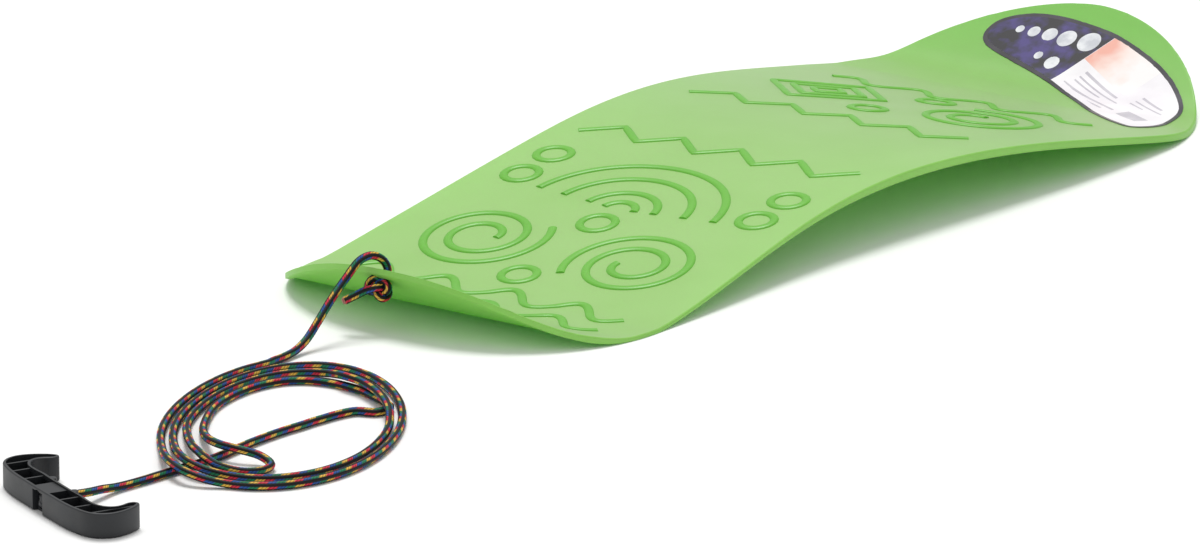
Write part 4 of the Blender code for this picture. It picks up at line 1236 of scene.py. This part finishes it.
def board_material(name, greens, bloom):
    """Polyethylene, injection moulded: a satin skin with a fine orange peel, a little see-through.

    Bloom is the pale veil of a textured mould, which shows at low angles. Towards the tail the
    green goes over to a deeper one: painted shade on the upturned tail, which tilts away from the
    light.
    """
    made = new_material(name)
    place = place_in(made)
    # Flow of the melt: very slow changes of tint, 70 mm across.
    cloud = noise(made, place, FLOW_REPEATS)
    tint = bands(made, cloud, zip(WIDE_CLOUD, greens))
    # Painted shade: towards the upturned tail the green goes over to a deeper one.
    along = add(made, "SeparateXYZ", Vector=place).outputs["Y"]
    tint = blended(made, spread(made, along, *TAIL_SHADE_PLACES), tint, colour(TAIL_SHADE_GREEN))
    # Skin: 1.2 mm orange peel, and 22 mm scuffs so that its gloss isn't even.
    peel = noise(made, place, PEEL_REPEATS)
    scuff = noise(made, place, SCUFF_REPEATS, 4.0)
    shader = add(
        made,
        "BsdfPrincipled",
        Base_Color=tint,
        Roughness=spread(made, scuff, *WIDE_CLOUD, SCUFF_ROUGHNESS),
        IOR=POLYETHYLENE_IOR,
        Sheen_Weight=bloom,
        Sheen_Roughness=BLOOM_SPREAD,
        Sheen_Tint=colour(BLOOM_TINT),
        Normal=bumped(made, peel, *PEEL_RELIEF),
    )
    # A thin sheet lets some light through, which colours the shadow below it.
    through = add(made, "BsdfTranslucent", Color=colour(THROUGH_GREEN))
    both = {"i0": LIGHT_THROUGH, "i1": shader.outputs[0], "i2": through.outputs[0]}
    return complete(made, add(made, "MixShader", **both))


def rope_material():
    """Polypropylene, braided: matt rows of slanted stitches, coloured and black by turns."""
    made = new_material("polypropylene yarn, braided, black with coloured rows")
    place = add(made, "UVMap", {"uv_map": "braid_map"}).outputs["UV"]
    split = add(made, "SeparateXYZ", Vector=place)
    rows = maths(made, "MULTIPLY", split.outputs["X"], float(BRAID_ROWS))
    row = maths(made, "FLOOR", rows)
    across = maths(made, "FRACT", rows)
    black_row = maths(made, "MODULO", row, 2.0)
    lean = maths(made, "MULTIPLY", maths(made, "SUBTRACT", black_row, 0.5), -2.0 * STITCH_LEAN)
    shift = maths(made, "MULTIPLY", lean, maths(made, "SUBTRACT", across, 0.5))
    stitches = maths(made, "MULTIPLY_ADD", split.outputs["Y"], 1.0 / STITCH_LENGTH, shift)
    # The colours follow one another along a row, 6 mm each, from another place in each row.
    repeats = maths(made, "MULTIPLY", stitches, STITCH_LENGTH / COLOUR_REPEAT)
    moved = maths(made, "MULTIPLY_ADD", row, ROW_OFFSET_SHARE, repeats)
    stops = [(k / len(YARN_COLOURS), tint) for k, tint in enumerate(YARN_COLOURS)]
    yarn = bands(made, maths(made, "FRACT", moved), stops, "CONSTANT")
    coloured = blended(made, black_row, yarn, colour(YARN_BLACK))
    arch = maths(made, "SINE", maths(made, "MULTIPLY", across, math.pi))
    bead = maths(made, "SINE", maths(made, "MULTIPLY", stitches, math.pi))
    bead = maths(made, "ABSOLUTE", bead)
    rise = maths(made, "SQRT", maths(made, "MULTIPLY", arch, bead))
    # Less light gets down between the stitches.
    depth = spread(made, rise, 0.0, LIT_RISE, (SHADE_SHARE, 1.0))
    # Fibres: fine streaks about 1 mm long.
    fibre = noise(made, place, FIBRE_REPEATS, 1.0)
    relief = maths(made, "MULTIPLY_ADD", fibre, FIBRE_SHARE, rise)
    return surface(
        made,
        Base_Color=blended(made, depth, colour(YARN_SHADE), coloured),
        Roughness=YARN_ROUGHNESS,
        IOR=POLYPROPYLENE_IOR,
        Specular_IOR_Level=YARN_SHINE,
        Normal=bumped(made, relief, *STITCH_RELIEF),
    )


def bead_and_shade_material(name, tints):
    """Polypropylene, cut hot: the yarns run together into a smooth bead of mixed tint.

    It also gives painted shade: dull dark tints on the knot deep in the handle's pocket.
    """
    made = new_material(name)
    cloud = noise(made, place_in(made), BEAD_REPEATS)
    tint = bands(made, cloud, zip(CLOSE_CLOUD, tints))
    return surface(made, Base_Color=tint, Roughness=MELTED_ROUGHNESS, IOR=POLYPROPYLENE_IOR)


def handle_material():
    """Polypropylene, injection moulded and spark textured: a dull charcoal skin, softly lit."""
    made = new_material("polypropylene, injection moulded, charcoal")
    place = place_in(made)
    cloud = noise(made, place, HANDLE_CLOUD_REPEATS, 3.0)
    grain = noise(made, place, HANDLE_GRAIN_REPEATS)
    return surface(
        made,
        Base_Color=bands(made, cloud, zip(CLOSE_CLOUD, HANDLE_GREYS)),
        Roughness=spread(made, cloud, *WIDE_CLOUD, HANDLE_ROUGHNESS),
        IOR=POLYPROPYLENE_IOR,
        Normal=bumped(made, grain, *GRAIN_RELIEF),
    )


def film_material(ink, first, second, repeats):
    """A printed vinyl film: even ink under a smooth coat, with a faint mottle of the press."""
    made = new_material("vinyl film, printed " + ink)
    tint = bands(made, noise(made, place_in(made), repeats, 3.0), (first, second))
    return surface(made, Base_Color=tint, Roughness=FILM_ROUGHNESS, IOR=FILM_IOR)


def wash_material():
    """Printed vinyl film: soft orange that runs out to white along the label."""
    made = new_material("vinyl film, printed soft orange")
    place = place_in(made)
    way = (math.cos(LABEL_TURN), math.sin(LABEL_TURN), 0.0)
    dot = add(made, "VectorMath", {"operation": "DOT_PRODUCT"}, i0=place, i1=way)
    ends = [label_place(share, LABEL_WASH[2]) for share in LABEL_WASH[:2]]
    start, end = (float(x * way[0] + place_y(u) * way[1]) for x, u in ends)
    share = spread(made, dot.outputs["Value"], start, end)
    grain = noise(made, place, WASH_REPEATS)
    grain = maths(made, "SUBTRACT", grain, 0.5)
    moved = maths(made, "MULTIPLY_ADD", grain, LABEL_WASH_GRAIN, share)
    tint = bands(made, moved, LABEL_WASH_STOPS)
    return surface(made, Base_Color=tint, Roughness=FILM_ROUGHNESS, IOR=FILM_IOR)


# Camera, floor and light.
def make_camera():
    """The camera of the photo, found by fitting the board's outline."""
    camera = in_scene("photo_camera", bpy.data.cameras.new("photo_camera"))
    turn = Matrix((CAMERA_RIGHT, CAMERA_UP, [-c for c in CAMERA_FORWARD])).transposed()
    camera.matrix_world = Matrix.Translation(CAMERA_PLACE) @ turn.to_4x4()
    camera.data.lens = CAMERA_LENS
    camera.data.sensor_width = CAMERA_SENSOR
    camera.data.clip_end = CAMERA_CLIP
    bpy.context.scene.camera = camera


def make_floor():
    """White paper: a plain matt floor that keeps the shadows."""
    bpy.ops.mesh.primitive_plane_add(size=FLOOR_SIZE, location=(0.0, 0.0, -FLOOR_GAP))
    floor = bpy.context.active_object
    floor.name = "paper_floor"
    made = new_material("white paper backdrop")
    cloud = noise(made, place_in(made), PAPER_REPEATS)
    tint = bands(made, cloud, zip(WIDE_CLOUD, FLOOR_WHITES))
    floor.data.materials.append(surface(made, Base_Color=tint, Roughness=PAPER_ROUGHNESS))


def make_light():
    """A bright room and one large soft light high above, a little behind the board."""
    world = bpy.data.worlds.new("studio")
    bpy.context.scene.world = world
    world.use_nodes = True
    background = world.node_tree.nodes["Background"]
    background.inputs["Color"].default_value = WHITE
    background.inputs["Strength"].default_value = WORLD_STRENGTH
    light = bpy.data.lights.new("overhead", "SUN")
    light.angle = LIGHT_SPREAD
    light.energy = LIGHT_STRENGTH
    item = in_scene("overhead", light)
    item.rotation_mode = "QUATERNION"
    item.rotation_quaternion = Vector(LIGHT_WAY).to_track_quat("Z", "Y")


make_camera()
make_floor()
make_light()
rope, line, length, nose_knot, handle_knot = make_rope()
handle = make_handle()
finish(handle, "handle", "handle", handle_material(), "handle")
green = "polyethylene, moulded {} green"
# Painted light: the top's paler green is painted sheen, and the raised lines' deeper green is
# painted shade.
textured = board_material(green.format("with a fine texture, apple"), TOP_SHEEN_GREENS, BOARD_BLOOM)
polished = board_material(green.format("against polished steel, apple"), EDGE_GREENS, 0.0)
leaf = board_material(green.format("in polished grooves, leaf"), LINE_SHADE_GREENS, 0.0)
finish(make_board(textured, polished), "sled", "board", None, "board")
finish(make_lines(), "sled", "board", leaf)
make_label()
bpy.context.scene.view_settings.view_transform = "Standard"
